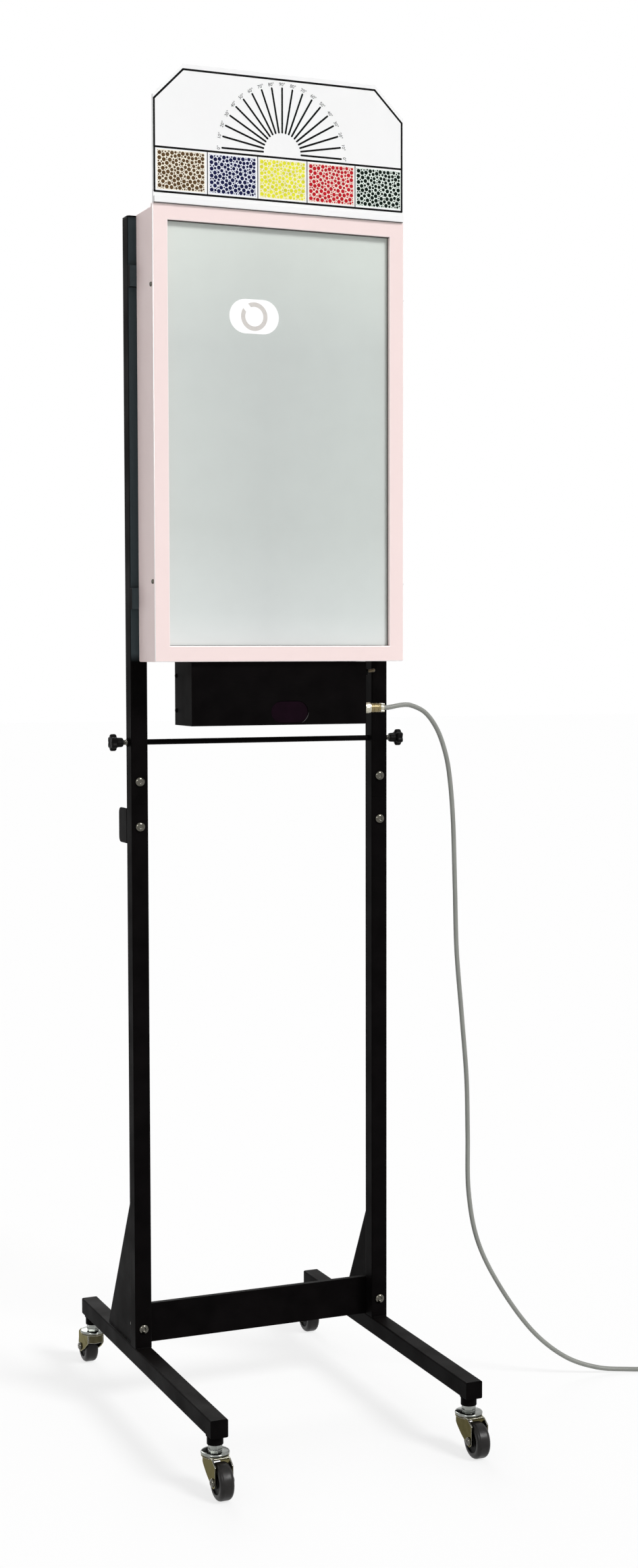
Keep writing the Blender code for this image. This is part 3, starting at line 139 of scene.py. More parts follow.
class Look:
    """A procedural surface with noise, grain, softened edges, and painted light: lighter edges that are part
    wear, lighter tops, and a painted reflection.
    """

    def __init__(self, name, colour, rough, metallic=0.0, shine=0.5):
        self.material = bpy.data.materials.new(name)
        self.material.use_nodes = True
        self.tree = self.material.node_tree
        self.shader = self.tree.nodes["Principled BSDF"]
        self.colour = colour
        self.rough = rough
        self.set(Base_Color=(*colour, 1), Roughness=rough, Metallic=metallic, Specular_IOR_Level=shine)
        self.place = self.add("TexCoord", "Object")
        self.normal = None

    def add(self, *what, **settings):
        return add(self.tree, *what, **settings)

    def set(self, **values):
        for key, value in values.items():
            self.shader.inputs[key.replace("_", " ")].default_value = value
        return self

    def feed(self, socket, out):
        self.tree.links.new(out, self.shader.inputs[socket])
        return self

    def noise(self, scale, detail=4):
        return self.add("TexNoise", "Fac", {"Scale": scale, "Detail": detail, "Vector": self.place})

    def at(self, axis):
        return self.add("SeparateXYZ", axis, {"Vector": self.place})

    def facing(self, axis):
        return self.add("SeparateXYZ", axis, {"Vector": self.add("NewGeometry", "Normal")})

    def ramp(self, value, stops):
        out = self.add("ValToRGB", "Color", {"Fac": value})
        points = out.node.color_ramp.elements
        while len(points) < len(stops):
            points.new(0.5)
        for point, (where, colour) in zip(points, stops):
            point.position = where
            point.color = (*colour, 1)
        return out

    def remap(self, value, low, high, start=0.3, end=0.7):
        ends = {"From Min": start, "From Max": end, "To Min": low, "To Max": high}
        return self.add("MapRange", "Result", {"Value": value, **ends})

    def times(self, first, second):
        return self.add("Math", "Value", {0: first, 1: second}, operation="MULTIPLY")

    def rounding(self, radius):
        return self.add("Bevel", "Normal", {"Radius": radius}, samples=4)

    def mix(self, amount, first, second, blend="MIX"):
        sockets = {"Factor": amount, 6: first, 7: second}
        return self.add("Mix", 2, sockets, data_type="RGBA", blend_type=blend)

    def paint(self, out):
        self.painted = out
        return self.feed("Base Color", out)

    def cover(self, amount, colour):
        """Another colour over the paint, by an amount."""
        return self.paint(self.mix(amount, self.painted, (*colour, 1)))

    def mottle(self, scale, amount):
        """Colour that wanders by a share of itself."""
        darker = tuple(c * (1 - amount) for c in self.colour)
        lighter = tuple(min(c * (1 + amount), 1.0) for c in self.colour)
        return self.paint(self.ramp(self.noise(scale), ((0.3, darker), (0.7, lighter))))

    def gloss(self, scale, amount):
        """Roughness that wanders up and down."""
        low, high = max(self.rough - amount, 0.02), min(self.rough + amount, 1.0)
        return self.feed("Roughness", self.remap(self.noise(scale), low, high))

    def glow(self, dim, bright, scale):
        """Glow that wanders between two colours."""
        self.set(Emission_Strength=1.0)
        return self.feed("Emission Color", self.ramp(self.noise(scale), ((0.3, dim), (0.7, bright))))

    def soften(self, radius):
        """Edges that catch the light as if rounded."""
        self.normal = self.rounding(radius)
        return self.feed("Normal", self.normal)

    def grain(self, scale, strength):
        """Fine bumps over the softened edges."""
        sockets = {"Strength": strength, "Distance": 0.0002, "Height": self.noise(scale, 3)}
        if self.normal:
            sockets["Normal"] = self.normal
        return self.feed("Normal", self.add("Bump", "Normal", sockets))

    def edge_wear_and_highlight(self, colour, radius, amount):
        """Edges turned lighter: painted highlight on metal; part wear, part painted highlight on the black
        coat and plastic.
        """
        normals = {0: self.rounding(radius), 1: self.add("NewGeometry", "Normal")}
        turn = self.add("VectorMath", "Value", normals, operation="DOT_PRODUCT")
        return self.cover(self.remap(turn, amount, 0.0, 0.75, 0.98), colour)

    def painted_reflection(self, colour, low, high, fade=0.012):
        """Painted reflection: a lighter colour on front faces between two heights."""
        amount = self.remap(self.facing("Y"), 1.0, 0.0, -0.95, -0.6)
        for start, end in ((low, low + fade), (high, high - fade)):
            amount = self.times(amount, self.remap(self.at("Z"), 0.0, 1.0, start, end))
        return self.cover(amount, colour)

    def lighter_tops(self, colour, amount):
        """Lighter colour in patches on faces that look up."""
        up = self.remap(self.facing("Z"), 0.0, amount, 0.2, 1.0)
        return self.cover(self.times(up, self.remap(self.noise(60, 5), 0.4, 1.0)), colour)

    def on(self, node):
        """Take the place of a CAD node's own materials."""
        materials = frame["nodes"][node].data.materials
        materials.clear()
        materials.append(self.material)


def coat(name):
    return Look(name, (0.003, 0.0025, 0.0026), 0.5, shine=0.015).mottle(35, 0.3).gloss(18, 0.08)


BLACK = coat("black_powder_coat")
# Lighter edges, part wear and part painted highlight; lighter patches on faces that look up.
BLACK.edge_wear_and_highlight((0.01, 0.0092, 0.0086), 0.0005, 0.3).lighter_tops((0.007, 0.006, 0.0055), 0.6)
BLACK.soften(0.0009).grain(2600, 0.12)
POST = coat("upper_post_coat_painted_reflection")
# Painted reflection: a bluish grey on the upper posts' front faces beside the light box, where the box's side
# would show in the gloss.
POST.painted_reflection((0.058, 0.076, 0.083), BOX_LOW, BOX_HIGH).soften(0.0009).grain(2600, 0.12)
PLASTIC = Look("black_moulding", (0.0042, 0.0039, 0.0038), 0.42, shine=0.05).mottle(90, 0.3).gloss(60, 0.1)
# Lighter edges, part wear and part painted highlight.
PLASTIC.edge_wear_and_highlight((0.03, 0.03, 0.028), 0.0005, 0.5).soften(0.0004).grain(3500, 0.1)
STEEL = Look("bright_fasteners", (0.1, 0.095, 0.08), 0.16, 1.0).mottle(300, 0.2).gloss(400, 0.06)
# Near-white edges: painted highlight.
STEEL.edge_wear_and_highlight((0.8, 0.79, 0.75), 0.0004, 0.35).soften(0.0003).grain(2500, 0.04)
CHROME = Look("chrome_plate", (0.06, 0.053, 0.03), 0.15, 1.0).mottle(120, 0.22).gloss(90, 0.06)
# Painted light: lighter upper faces for light from above, and near-white edges as painted highlight.
CHROME.set(Specular_Tint=(0.8, 0.76, 0.58, 1)).lighter_tops((0.36, 0.36, 0.33), 0.8)
CHROME.edge_wear_and_highlight((0.92, 0.92, 0.88), 0.0009, 0.9).soften(0.0004)
ZINC = Look("zinc_plate", (0.24, 0.25, 0.235), 0.18, 1.0).mottle(140, 0.16).gloss(110, 0.08)
# Near-white edges: painted highlight.
ZINC.edge_wear_and_highlight((0.9, 0.91, 0.9), 0.0006, 0.6).soften(0.0004)
RUBBER = Look("wheel_rubber", (0.0095, 0.0085, 0.008), 0.36, shine=0.22)
RUBBER.mottle(160, 0.35).gloss(70, 0.1).grain(1500, 0.12)
PINK = Look("pink_powder_coat", (0.93, 0.765, 0.745), 0.36, shine=0.4)
PINK.mottle(9, 0.012).gloss(14, 0.05).soften(0.0012).grain(1500, 0.05)
# Lighter pink for the bezel's bends: painted highlight, under a real glossy coat.
BEND_HIGHLIGHT = Look("pink_bend_highlight", (0.985, 0.9, 0.89), 0.22, shine=1.0).mottle(60, 0.012).gloss(40, 0.05)
BEND_HIGHLIGHT.set(Coat_Weight=1.0, Coat_Roughness=0.2, Coat_IOR=1.8)
BOARD = Look("white_board", (0.93, 0.93, 0.93), 0.42, shine=0.3)
BOARD.mottle(7, 0.01).gloss(12, 0.06).soften(0.0008).grain(1200, 0.03)
WHITE = Look("white_moulding", (0.8, 0.8, 0.78), 0.5).mottle(20, 0.02).gloss(30, 0.08)
CIRCUIT = Look("circuit_board", (0.02, 0.16, 0.07), 0.45).mottle(200, 0.3).gloss(100, 0.1)
LENS = Look("dark_lens", (0.0062, 0.0016, 0.0047), 0.16, shine=0.03).mottle(30, 0.35).gloss(40, 0.05)
NICKEL = Look("nickel_plate", (0.5, 0.48, 0.39), 0.22, 0.8).mottle(260, 0.18).gloss(300, 0.08)
# Near-white edges: painted highlight.
NICKEL.edge_wear_and_highlight((0.92, 0.91, 0.84), 0.0005, 0.9).soften(0.0002)
BRASS = Look("dull_brass", (0.215, 0.165, 0.07), 0.28, 0.45).mottle(260, 0.25).gloss(300, 0.08)
# Lighter edges: painted highlight.
BRASS.edge_wear_and_highlight((0.62, 0.55, 0.36), 0.0004, 0.8).soften(0.0002)
LEVER = Look("dull_lever", (0.105, 0.086, 0.055), 0.38, 1.0).mottle(300, 0.25).gloss(200, 0.1)
# Lighter edges: painted highlight.
LEVER.edge_wear_and_highlight((0.45, 0.4, 0.32), 0.0006, 0.7)
CORD = Look("cord_sheath", (0.245, 0.252, 0.23), 0.46).mottle(25, 0.08).gloss(80, 0.1).grain(900, 0.06)
NYLON = Look("nylon_tie", (0.02, 0.02, 0.02), 0.5).mottle(200, 0.3).gloss(100, 0.1)
# Dark seal colour, also used for strips that stand in for shade (painted shade).
GASKET_AND_SHADE = Look("dark_gasket_and_painted_shade", (0.045, 0.04, 0.036), 0.6).mottle(150, 0.2).gloss(90, 0.1)
# Black print, also used for the dark bar that stands in for a screw slot (painted shade).
INK_AND_SHADE = Look("black_ink_and_painted_shade", (0.006, 0.006, 0.006), 0.45, shine=0.04).mottle(80, 0.3).gloss(50, 0.08)

SLOT_LOOKS = dict(
    black_paint=BLACK, black_plastic=PLASTIC, bright_steel=STEEL, chrome=CHROME, wheel_rubber=RUBBER,
    pink_paint=PINK, white_board=BOARD, circuit_board=CIRCUIT, dark_window=LENS, nickel=NICKEL,
    cord_vinyl=CORD, tie_nylon=NYLON,
)


def dress_nodes():
    for entry in frame["record"]["subparts"]:
        SLOT_LOOKS.get(entry["material_slot"], WHITE).on(entry["node"])
    # The upper posts and mount bars take the coat with the painted reflection.
    for node in ("left_upper_post", "right_upper_post", "upper_mount_bar", "lower_mount_bar"):
        POST.on(node)


# Outlines and forms

def mm(*points, at=(0, 0)):
    """Points given in millimetres from a place."""
    return [(at[0] + a / 1000, at[1] + b / 1000) for a, b in points]


def polar(centre, radius, turn):
    angle = radians(turn)
    return (centre[0] + radius * cos(angle), centre[1] + radius * sin(angle))


def arc(centre, radius, start, end, count):
    return [polar(centre, radius, start + (end - start) * i / count) for i in range(count + 1)]


def circle(radius, count=32, centre=(0, 0)):
    return [polar(centre, radius, 360 * i / count) for i in range(count)]


def rounded(width, height, radius, count=5):
    points = []
    x, y = width / 2 - radius, height / 2 - radius
    for i, centre in enumerate(((x, y), (-x, y), (-x, -y), (x, -y))):
        points += arc(centre, radius, 90 * i, 90 * i + 90, count)
    return points


def pill(length, height, count=16):
    radius = height / 2
    reach = length / 2 - radius
    return arc((reach, 0), radius, -90, 90, count) + arc((-reach, 0), radius, 90, 270, count)


def hexagon(flats):
    return circle(flats / sqrt(3), 6)


def oblong(reach, low, high):
    return [(-reach, low), (reach, low), (reach, high), (-reach, high)]


def skin(rows, closed=False, accented=()):
    """A shell over rows of points, closed or with end faces; accented rows take the second look."""
    shell = bmesh.new()
    rings = []
    for row in rows:
        made = {point: shell.verts.new(point) for point in dict.fromkeys(map(tuple, row))}
        rings.append([made[tuple(point)] for point in row])
    if closed:
        rings.append(rings[0])
    for ring in () if closed else (rings[0], rings[-1]):
        if ring[0] != ring[1]:
            shell.faces.new(ring)
    for row, (upper, lower) in enumerate(zip(rings, rings[1:])):
        for corners in zip(upper, lower, lower[1:] + lower[:1], upper[1:] + upper[:1]):
            face = shell.faces.new(list(dict.fromkeys(corners)))
            face.material_index = int(row in accented)
    return shell


class Form:
    """A piece in the making: closed shells, each with its own look."""

    def __init__(self):
        self.mesh = bmesh.new()
        self.looks = []

    def take(self, shell, place, *looks):
        """Add a shell; its faces' material indices pick from the looks."""
        for look in looks:
            if look not in self.looks:
                self.looks.append(look)
        bmesh.ops.recalc_face_normals(shell, faces=shell.faces)
        for face in shell.faces:
            face.material_index = self.looks.index(looks[face.material_index])
        shell.transform(place)
        draft = bpy.data.meshes.new("draft")
        shell.to_mesh(draft)
        shell.free()
        self.mesh.from_mesh(draft)
        bpy.data.meshes.remove(draft)
        return self

    def turned(self, profile, place, look, steps=48):
        """A turned profile of (radius, height); a radius may be a function of angle."""
        angles = [tau * i / steps for i in range(steps)]
        rows = []
        for radius, height in profile:
            reaches = map(radius, angles) if callable(radius) else [radius] * steps
            rows.append([(r * cos(a), r * sin(a), height) for r, a in zip(reaches, angles)])
        return self.take(skin(rows, profile[0][0] != 0), place, look)

    def slab(self, outline, low, high, place, look, edge=0.0, segments=2):
        """An outline given a thickness, its rims rounded."""
        shell = skin([[(x, y, z) for x, y in outline] for z in (low, high)])
        if edge:
            rims = [e for e in shell.edges if abs(e.verts[0].co.z - e.verts[1].co.z) < 1e-9]
            bmesh.ops.bevel(shell, geom=rims, offset=edge, segments=segments, affect="EDGES", profile=0.5)
        return self.take(shell, place, look)

    def band(self, outer, inner, low, high, place, look):
        """A ring between two outlines of as many points."""
        corners = ((outer, low), (outer, high), (inner, high), (inner, low))
        rows = [[(x, y, height) for x, y in outline] for outline, height in corners]
        return self.take(skin(rows, True), place, look)

    def words(self, text, height, depth, place, look):
        """Raised figures in the built-in face, centred on their place."""
        curve = bpy.data.curves.new("words", "FONT")
        curve.body = text
        curve.size = height
        curve.align_x = "CENTER"
        curve.extrude = depth
        curve.resolution_u = 3
        draft = placed("words", curve)
        bpy.context.view_layer.update()
        graph = bpy.context.evaluated_depsgraph_get()
        mesh = bpy.data.meshes.new_from_object(draft.evaluated_get(graph))
        bpy.data.objects.remove(draft)
        shell = bmesh.new()
        shell.from_mesh(mesh)
        bmesh.ops.remove_doubles(shell, verts=shell.verts, dist=1e-7)
        bpy.data.meshes.remove(mesh)
        return self.take(shell, place, look)

    def done(self, name, slot, replaced=None, body="stand", sharp=38):
        """The finished piece, on its body and in place of a CAD node if one is named."""
        mesh = bpy.data.meshes.new(name)
        self.mesh.to_mesh(mesh)
        self.mesh.free()
        for look in self.looks:
            mesh.materials.append(look.material)
        mesh.shade_smooth()
        mesh.set_sharp_from_angle(angle=radians(sharp))
        made = placed(name, mesh)
        made.modifiers.new("even", "WEIGHTED_NORMAL").keep_sharp = True
        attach(made, body)
        if replaced:
            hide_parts(replaced)
        return made


# Cord, its coil, tie and plug

CORD_RADIUS = 0.0035
COIL_CENTRE = Vector((0.705, -0.165))
COIL_MEAN_RADIUS = 0.041
COIL_TURNS = 5.25
COIL_STEP = 2 * CORD_RADIUS + 0.0008
COIL_POINTS = 48
COIL_LIFT = 0.002
COIL_TAIL = 0.099
TAIL_STEPS = 16
TIE_POINT = 6
TIE_WIDTH = 0.006
TIE_THICKNESS = 0.0009
TIE_EASE = 0.0008
PLUG_NECK = 0.018
PLUG_END = PLUG_NECK + 0.034
PLUG_WIDTH = 0.026
PLUG_HEIGHT = 0.017
NECK_RIBS = 5
BLADE_LENGTH = 0.017
BLADE_ASIDE = 0.00635
ROUTE_STEPS = 24
CORD_POINTS = 200
CORD_PLANE = -0.035
CORD_DROP = mm((199, 1041.2), (215, 1040.2), (238, 1029), (257, 1004.6), (270, 972))
CORD_DROP += mm((277.8, 935), (283.8, 870), (287.3, 770), (290.5, 670), (299.4, 570))
CORD_DROP += mm((307.6, 475), (309.8, 390), (311.6, 300), (327.4, 222))
CORD_ROUTE = [(x, CORD_PLANE, z) for x, z in CORD_DROP]
CORD_ROUTE += [(0.3645, -0.0365, 0.1482), (0.4156, -0.0447, 0.0758), (0.4668, -0.0553, 0.0312)]
CORD_ROUTE += [(0.5179, -0.0668, 0.0101), (0.569, -0.0811, 0.0045), (0.634, -0.11, 0.0045)]


def smooth_route(knots, count):
    """Points along a smooth curve through the knots, evenly spaced by arc length."""
    knots = np.array([knots[0], *knots, knots[-1]])[:, None]
    before, start, end, after = knots[:-3], knots[1:-2], knots[2:-1], knots[3:]
    t = np.linspace(0, 1, ROUTE_STEPS, endpoint=False)[:, None]
    square = (2 * before - 5 * start + 4 * end - after) * t**2
    cube = (3 * start - before - 3 * end + after) * t**3
    fine = 0.5 * (2 * start + (end - before) * t + square + cube)
    fine = np.vstack((fine.reshape(-1, 3), knots[-1]))
    lengths = np.append(0, np.cumsum(np.linalg.norm(np.diff(fine, axis=0), axis=1)))
    goals = np.linspace(0, lengths[-1], count)
    return [Vector(point) for point in zip(*(np.interp(goals, lengths, axis) for axis in fine.T))]


def eased(share):
    """Nought to one, with a gentle start and end."""
    share = min(max(share, 0.0), 1.0)
    return share * share * (3 - 2 * share)


def coil_path():
    """One unbroken run: in on the lower layer, a climb, out on the upper layer."""
    total = round(COIL_TURNS * COIL_POINTS)
    climb = COIL_POINTS / 4
    outer = COIL_MEAN_RADIUS + COIL_STEP * COIL_TURNS / 4
    points = []
    for i in range(total + 1):
        radius = outer - COIL_STEP * min(i, total - i) / COIL_POINTS
        height = CORD_RADIUS + COIL_LIFT + COIL_STEP * eased((i - total / 2 + climb) / (2 * climb))
        points.append(Vector((*polar(COIL_CENTRE, radius, 180 + 360 * i / COIL_POINTS), height)))
    return [points[0] + Vector((0, 2 * CORD_RADIUS, 0))] + points


def coil_tail(points):
    """The coil's straight end, let down to the plug's height, and its heading."""
    end = points[-1]
    heading = points[-1] - points[-2]
    heading.z = 0
    heading.normalize()
    drop = end.z - PLUG_HEIGHT / 2
    tail = []
    for share in np.linspace(0, 1, TAIL_STEPS + 1)[1:]:
        tail.append(end + heading * (COIL_TAIL * share) - Vector((0, 0, drop * eased((share - 0.3) / 0.5))))
    return tail, heading


def make_cord():
    coil = coil_path()
    tail, heading = coil_tail(coil)
    start = middle("connector_plug")
    start.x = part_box("connector_plug")[1].x + GAP
    straight = 2 * CORD_RADIUS
    meet = coil[0] + Vector((0, GAP, 0))
    knots = [start, start + Vector((straight, 0, 0)), *CORD_ROUTE, meet + Vector((0, straight, 0)), meet]
    points = smooth_route(knots, CORD_POINTS) + coil + tail
    curve = bpy.data.curves.new("cord", "CURVE")
    curve.dimensions = "3D"
    curve.bevel_depth = CORD_RADIUS
    curve.bevel_resolution = 4
    curve.use_fill_caps = True
    spline = curve.splines.new("POLY")
    spline.points.add(len(points) - 1)
    for point, place in zip(spline.points, points):
        point.co = (*place, 1)
    spline.use_smooth = True
    curve.materials.append(CORD.material)
    cord = placed("cord", curve)
    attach(cord, "stand")
    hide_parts("power_cord", "cord_coil")
    extras = [coil_tie(coil), mains_plug(tail[-1], heading)]
    length = sum((b - a).length for a, b in zip(points, points[1:]))


def coil_tie(coil):
    """Strap round the bundle of loops, with its lock and cut end."""
    crossing = coil[1 + TIE_POINT :: COIL_POINTS]
    spread = np.array([((point.xy - COIL_CENTRE).length, point.z) for point in crossing])
    across, tall = np.ptp(spread, axis=0) + 2 * (CORD_RADIUS + TIE_EASE)
    reach, height = (spread.min(axis=0) + spread.max(axis=0)) / 2
    angle = 180 + 360 * TIE_POINT / COIL_POINTS
    place = moved(*polar(COIL_CENTRE, reach, angle), height) @ spin(angle, "Z") @ FACE_FRONT
    outer = rounded(across + 2 * TIE_THICKNESS, tall + 2 * TIE_THICKNESS, CORD_RADIUS)
    inner = rounded(across, tall, CORD_RADIUS - TIE_THICKNESS)
    lock = place @ moved(across / 5, tall / 2 + TIE_THICKNESS + 0.0018, 0)
    end = lock @ spin(20, "Z") @ moved(0.008, 0.0004, 0)
    form = Form().band(outer, inner, -TIE_WIDTH / 2, TIE_WIDTH / 2, place, NYLON)
    form.slab(rounded(0.008, 0.004, 0.001), -0.0042, 0.0042, lock, NYLON, 0.0006)
    form.slab(rounded(0.012, 0.001, 0.0003), -0.0024, 0.0024, end, NYLON, 0.0003)
    return form.done("cord_tie", "tie_nylon", "coil_tie")


def mains_plug(cord_end, heading):
    """Moulded two-blade plug with a ribbed neck."""
    bearing = degrees(atan2(heading.y, heading.x))
    place = moved(cord_end + heading * GAP) @ spin(bearing, "Z") @ ALONG_X
    flat = place @ spin(90, "Z")
    form = Form()
    form.slab(rounded(PLUG_WIDTH, PLUG_HEIGHT, 0.005), PLUG_NECK, PLUG_END, flat, PLASTIC, 0.0022, 4)
    profile = [(0, PLUG_NECK + 0.006), (0.007, PLUG_NECK + 0.006), (0.007, PLUG_NECK)]
    for i in range(NECK_RIBS):
        base = PLUG_NECK * (1 - i / NECK_RIBS)
        radius = 0.0068 - 0.00026 * i
        profile += mm((0, -0.4), (0, -2.2), (-1.1, -2.6), (-1.1, -3.4), at=(radius, base))
    form.turned(profile + [(0.0046, 0), (0, 0)], place, PLASTIC, 32)
    for rise in (0.01, 0.016, 0.022):
        grip = PLUG_NECK + rise
        form.slab(rounded(0.0264, 0.008, 0.0035), grip, grip + 0.0028, flat, PLASTIC, 0.0008)
    blade = rounded(0.0015, 0.0062, 0.0004, 2)
    for side, sign in SIDES:
        pin = flat @ moved(sign * BLADE_ASIDE, 0, 0)
        form.slab(blade, PLUG_END - 0.004, PLUG_END + BLADE_LENGTH, pin, STEEL, 0.0004)
    return form.done("plug", "black_plastic", "mains_plug")


# Fasteners

HEAD_RADIUS = 0.007
HEAD_HEIGHT = 0.0044
HEAD_SOCKET = 0.005
SHANK = 0.004
SHANK_LENGTH = 0.006
WASHER = 0.0013
NUT_START = 0.2018
NUT_END = 0.2046
ROD_RADIUS = 0.004
ROD_END = 0.2216
KNOB_LOBES = mm((5.6, 18.2), (6.4, 18.8), (10, 19), (11.4, 18.6), (12.1, 17.4))
KNOB_LOBES += mm((12.2, 16), (12.2, 12.2), (11.9, 10.8), (10.8, 9.8), (8.6, 9.4))


def bar(radius, high, low):
    """Profile of a plain round bar."""
    return [(0, high), (radius, high), (radius, low), (0, low)]


def ridges(radius, start, end, pitch=0.00125, depth=0.0005):
    """Profile of a thread from one height down to another."""
    points = []
    while start - pitch > end:
        points += [(radius, start), (radius - depth, start - pitch / 2)]
        start -= pitch
    return points + [(radius, end)]


def dome(radius, height, rim, start, steps=6):
    """Side of a domed head from a given radius down to its rim."""
    turn = degrees(acos(start / radius))
    return [(radius * x, rim + (height - rim) * y) for x, y in arc((0, 0), 1, turn, 0, steps)]


def socket(angle):
    """Radius of the hexagon socket at an angle."""
    return HEAD_SOCKET / 2 / cos((angle % (pi / 3)) - pi / 6)


def button_head(place):
    """Domed bolt head with a hexagon socket, and the start of its shank."""
    rise = dome(HEAD_RADIUS, HEAD_HEIGHT, HEAD_HEIGHT * 0.25, HEAD_SOCKET * 0.66)
    floor = HEAD_HEIGHT * 0.4
    profile = [(0, floor - 0.0006), (socket, floor), (socket, rise[0][1] - 0.0002)] + rise
    profile += [(HEAD_RADIUS, 0.0003), (HEAD_RADIUS - 0.0003, 0), (SHANK, 0), (SHANK, -SHANK_LENGTH)]
    return Form().turned(profile + [(0, -SHANK_LENGTH)], place, STEEL)


def pan_head(form, place, radius, height, look):
    """Low round head with a driver slot drawn as a dark bar, painted shade."""
    rise = dome(radius, height, height * 0.3, radius * 0.25, 4)
    profile = [(0, rise[0][1])] + rise + [(radius, 0), (radius * 0.5, 0), (radius * 0.5, -0.002), (0, -0.002)]
    form.turned(profile, place, look, 24)
    # Painted shade: a dark bar across the head stands in for the slot's groove.
    form.slab(oblong(radius * 0.6, -0.0003, 0.0003), height * 0.8, height + 0.00003, place, INK_AND_SHADE)


def screws(form, size, look, turn, columns, y, rows):
    """Pan heads where columns and rows cross."""
    for x in columns:
        for z in rows:
            pan_head(form, moved(x, y, z) @ turn, *size, look)


def hex_head(form, place, flats, height, bolt=SHANK, stub=0.002):
    """Nut with a washer and the bolt's end."""
    rim = flats * 0.72
    washer = [(0, 0.0014), (rim - 0.0003, 0.0014), (rim, 0.0011), (rim, 0), (0, 0)]
    form.turned(washer, place, STEEL, 32)
    form.slab(hexagon(flats), WASHER, WASHER + height, place, STEEL, 0.0006)
    top, foot = WASHER + height + stub, height - 0.001
    profile = [(0, top), (bolt - 0.0005, top), (bolt, top - 0.0005)] + ridges(bolt, top - 0.0008, foot)
    form.turned(profile + [(0, foot)], place, STEEL, 24)


def post_fasteners():
    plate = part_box("cross_plate")[1].y
    for side, sign in SIDES:
        for kind in ("upper", "lower", "cross"):
            node = f"{side}_{kind}_bolt"
            at = middle(node)
            at.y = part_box(node)[0].y + HEAD_HEIGHT
            button_head(moved(at) @ FACE_FRONT).done(f"{side}_{kind}_screw", "bright_steel", node)
        form = Form()
        x = sign * POST_X
        hex_head(form, moved(x, plate, CROSS_BOLT_HEIGHT) @ FACE_REAR, 0.013, 0.0065)
        for node in ("lower_mount_bar", "upper_mount_bar"):
            hex_head(form, moved(x, POST_BACK, middle(node).z) @ FACE_REAR, 0.01, 0.004, 0.003, 0.0)
        form.done(f"{side}_rear_nuts", "bright_steel")


def star(radius):
    """Radius of a six-lobed outline, by angle."""
    return lambda angle: radius * (1 - 0.107 * (1 - cos(6 * angle)))


def ribbed(radius, count, depth):
    """Radius of a fluted outline, by angle."""
    return lambda angle: radius - depth * (0.5 - 0.5 * cos(count * angle))


def knobs():
    profile = [(0, 0.0182)] + [(star(radius), height) for radius, height in KNOB_LOBES]
    profile += [(ribbed(0.007, 12, 0.0007), 0.0086), (ribbed(0.0067, 12, 0.0007), 0.0014)]
    profile += mm((6, 0.2), (5.6, 0), (4.3, 0), (4.3, 11), (0, 11))
    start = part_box("right_knob")[0].x
    for side, sign in SIDES:
        place = moved(sign * start, POST_Y, ROD_HEIGHT) @ OUTWARD[side]
        form = Form().turned(profile, place, PLASTIC, 96)
        form.done(f"{side}_star_knob", "black_plastic", f"{side}_knob", f"{side}_knob")


def rod():
    """Tie rod with a lock nut and a thread at each end."""
    place = moved(0, POST_Y, ROD_HEIGHT) @ ALONG_X
    form = Form().turned(bar(ROD_RADIUS, NUT_END, -NUT_END), place, BLACK, 32)
    thread = [(0, ROD_END), (0.0035, ROD_END), *ridges(0.0039, ROD_END - 0.0004, NUT_START), (0, NUT_START)]
    for half in (place, place @ spin(180, "Y")):
        form.slab(hexagon(0.0112), NUT_START, NUT_END, half, BLACK, 0.0005)
        form.turned(thread, half, STEEL, 24)
    form.done("cross_rod", "black_paint", "tie_rod")


# Casters

CROWN_BOTTOM = 0.0525
CROWN_TOP = 0.055
CROWN_RADIUS = 0.019
CROWN_REACH = 0.0235
CROWN_CORNER = 0.003
CUP_BOTTOM = 0.0553
CUP_TOP = 0.0601
CUP_RADIUS = 0.0195
CUP_CROWN = 0.003
STEM_TOP = 0.0833
CASTER_NUT = 0.017
CASTER_NUT_TOP = 0.0673
CASTER_TRAIL = 0.026
ARM_INNER = 0.0112
ARM_OUTER = 0.0132
ARM_END_RADIUS = 0.0082
ARM_BACK = Vector((-0.0138, 0.0405))
ARM_BELLY = Vector((0.002, 0.0285))
ARM_STEPS = 12
WALL_OUTER = 0.0178
WALL_INNER = 0.016
AXLE_RADIUS = 0.003
WHEEL_RADIUS = 0.025
WHEEL_HALF = 0.01
WHEEL_SHOULDER = 0.0055


def crown_outline():
    half = ARM_OUTER - 0.0003
    meet = degrees(asin(half / CROWN_RADIUS))
    x, y = CROWN_REACH - CROWN_CORNER, half - CROWN_CORNER
    outline = arc((0, 0), CROWN_RADIUS, meet, 360 - meet, 40)
    return outline + arc((x, -y), CROWN_CORNER, -90, 0, 4) + arc((x, y), CROWN_CORNER, 0, 90, 4)


def arm_outline():
    lift = CROWN_TOP - 0.0006
    round_end = arc((CASTER_TRAIL, WHEEL_RADIUS), ARM_END_RADIUS, 215, 360, 14)
    start, end = ARM_BACK, Vector(round_end[0])
    control = 2 * ARM_BELLY - (start + end) / 2
    points = [(start.x, lift)]
    for t in np.linspace(0, 1, ARM_STEPS, endpoint=False):
        points.append(tuple(start.lerp(control, t).lerp(control.lerp(end, t), t)))
    return points + round_end + [(CASTER_TRAIL + ARM_END_RADIUS, CROWN_BOTTOM - 0.005), (CROWN_REACH, lift)]


def wall_outline():
    """Plan of the fork's back wall, between its arms."""
    outline = []
    for radius, way in ((WALL_OUTER, 1), (WALL_INNER, -1)):
        reach = way * degrees(asin(ARM_INNER / radius))
        outline += arc((0, 0), radius, 180 - reach, 180 + reach, 24)
    return outline


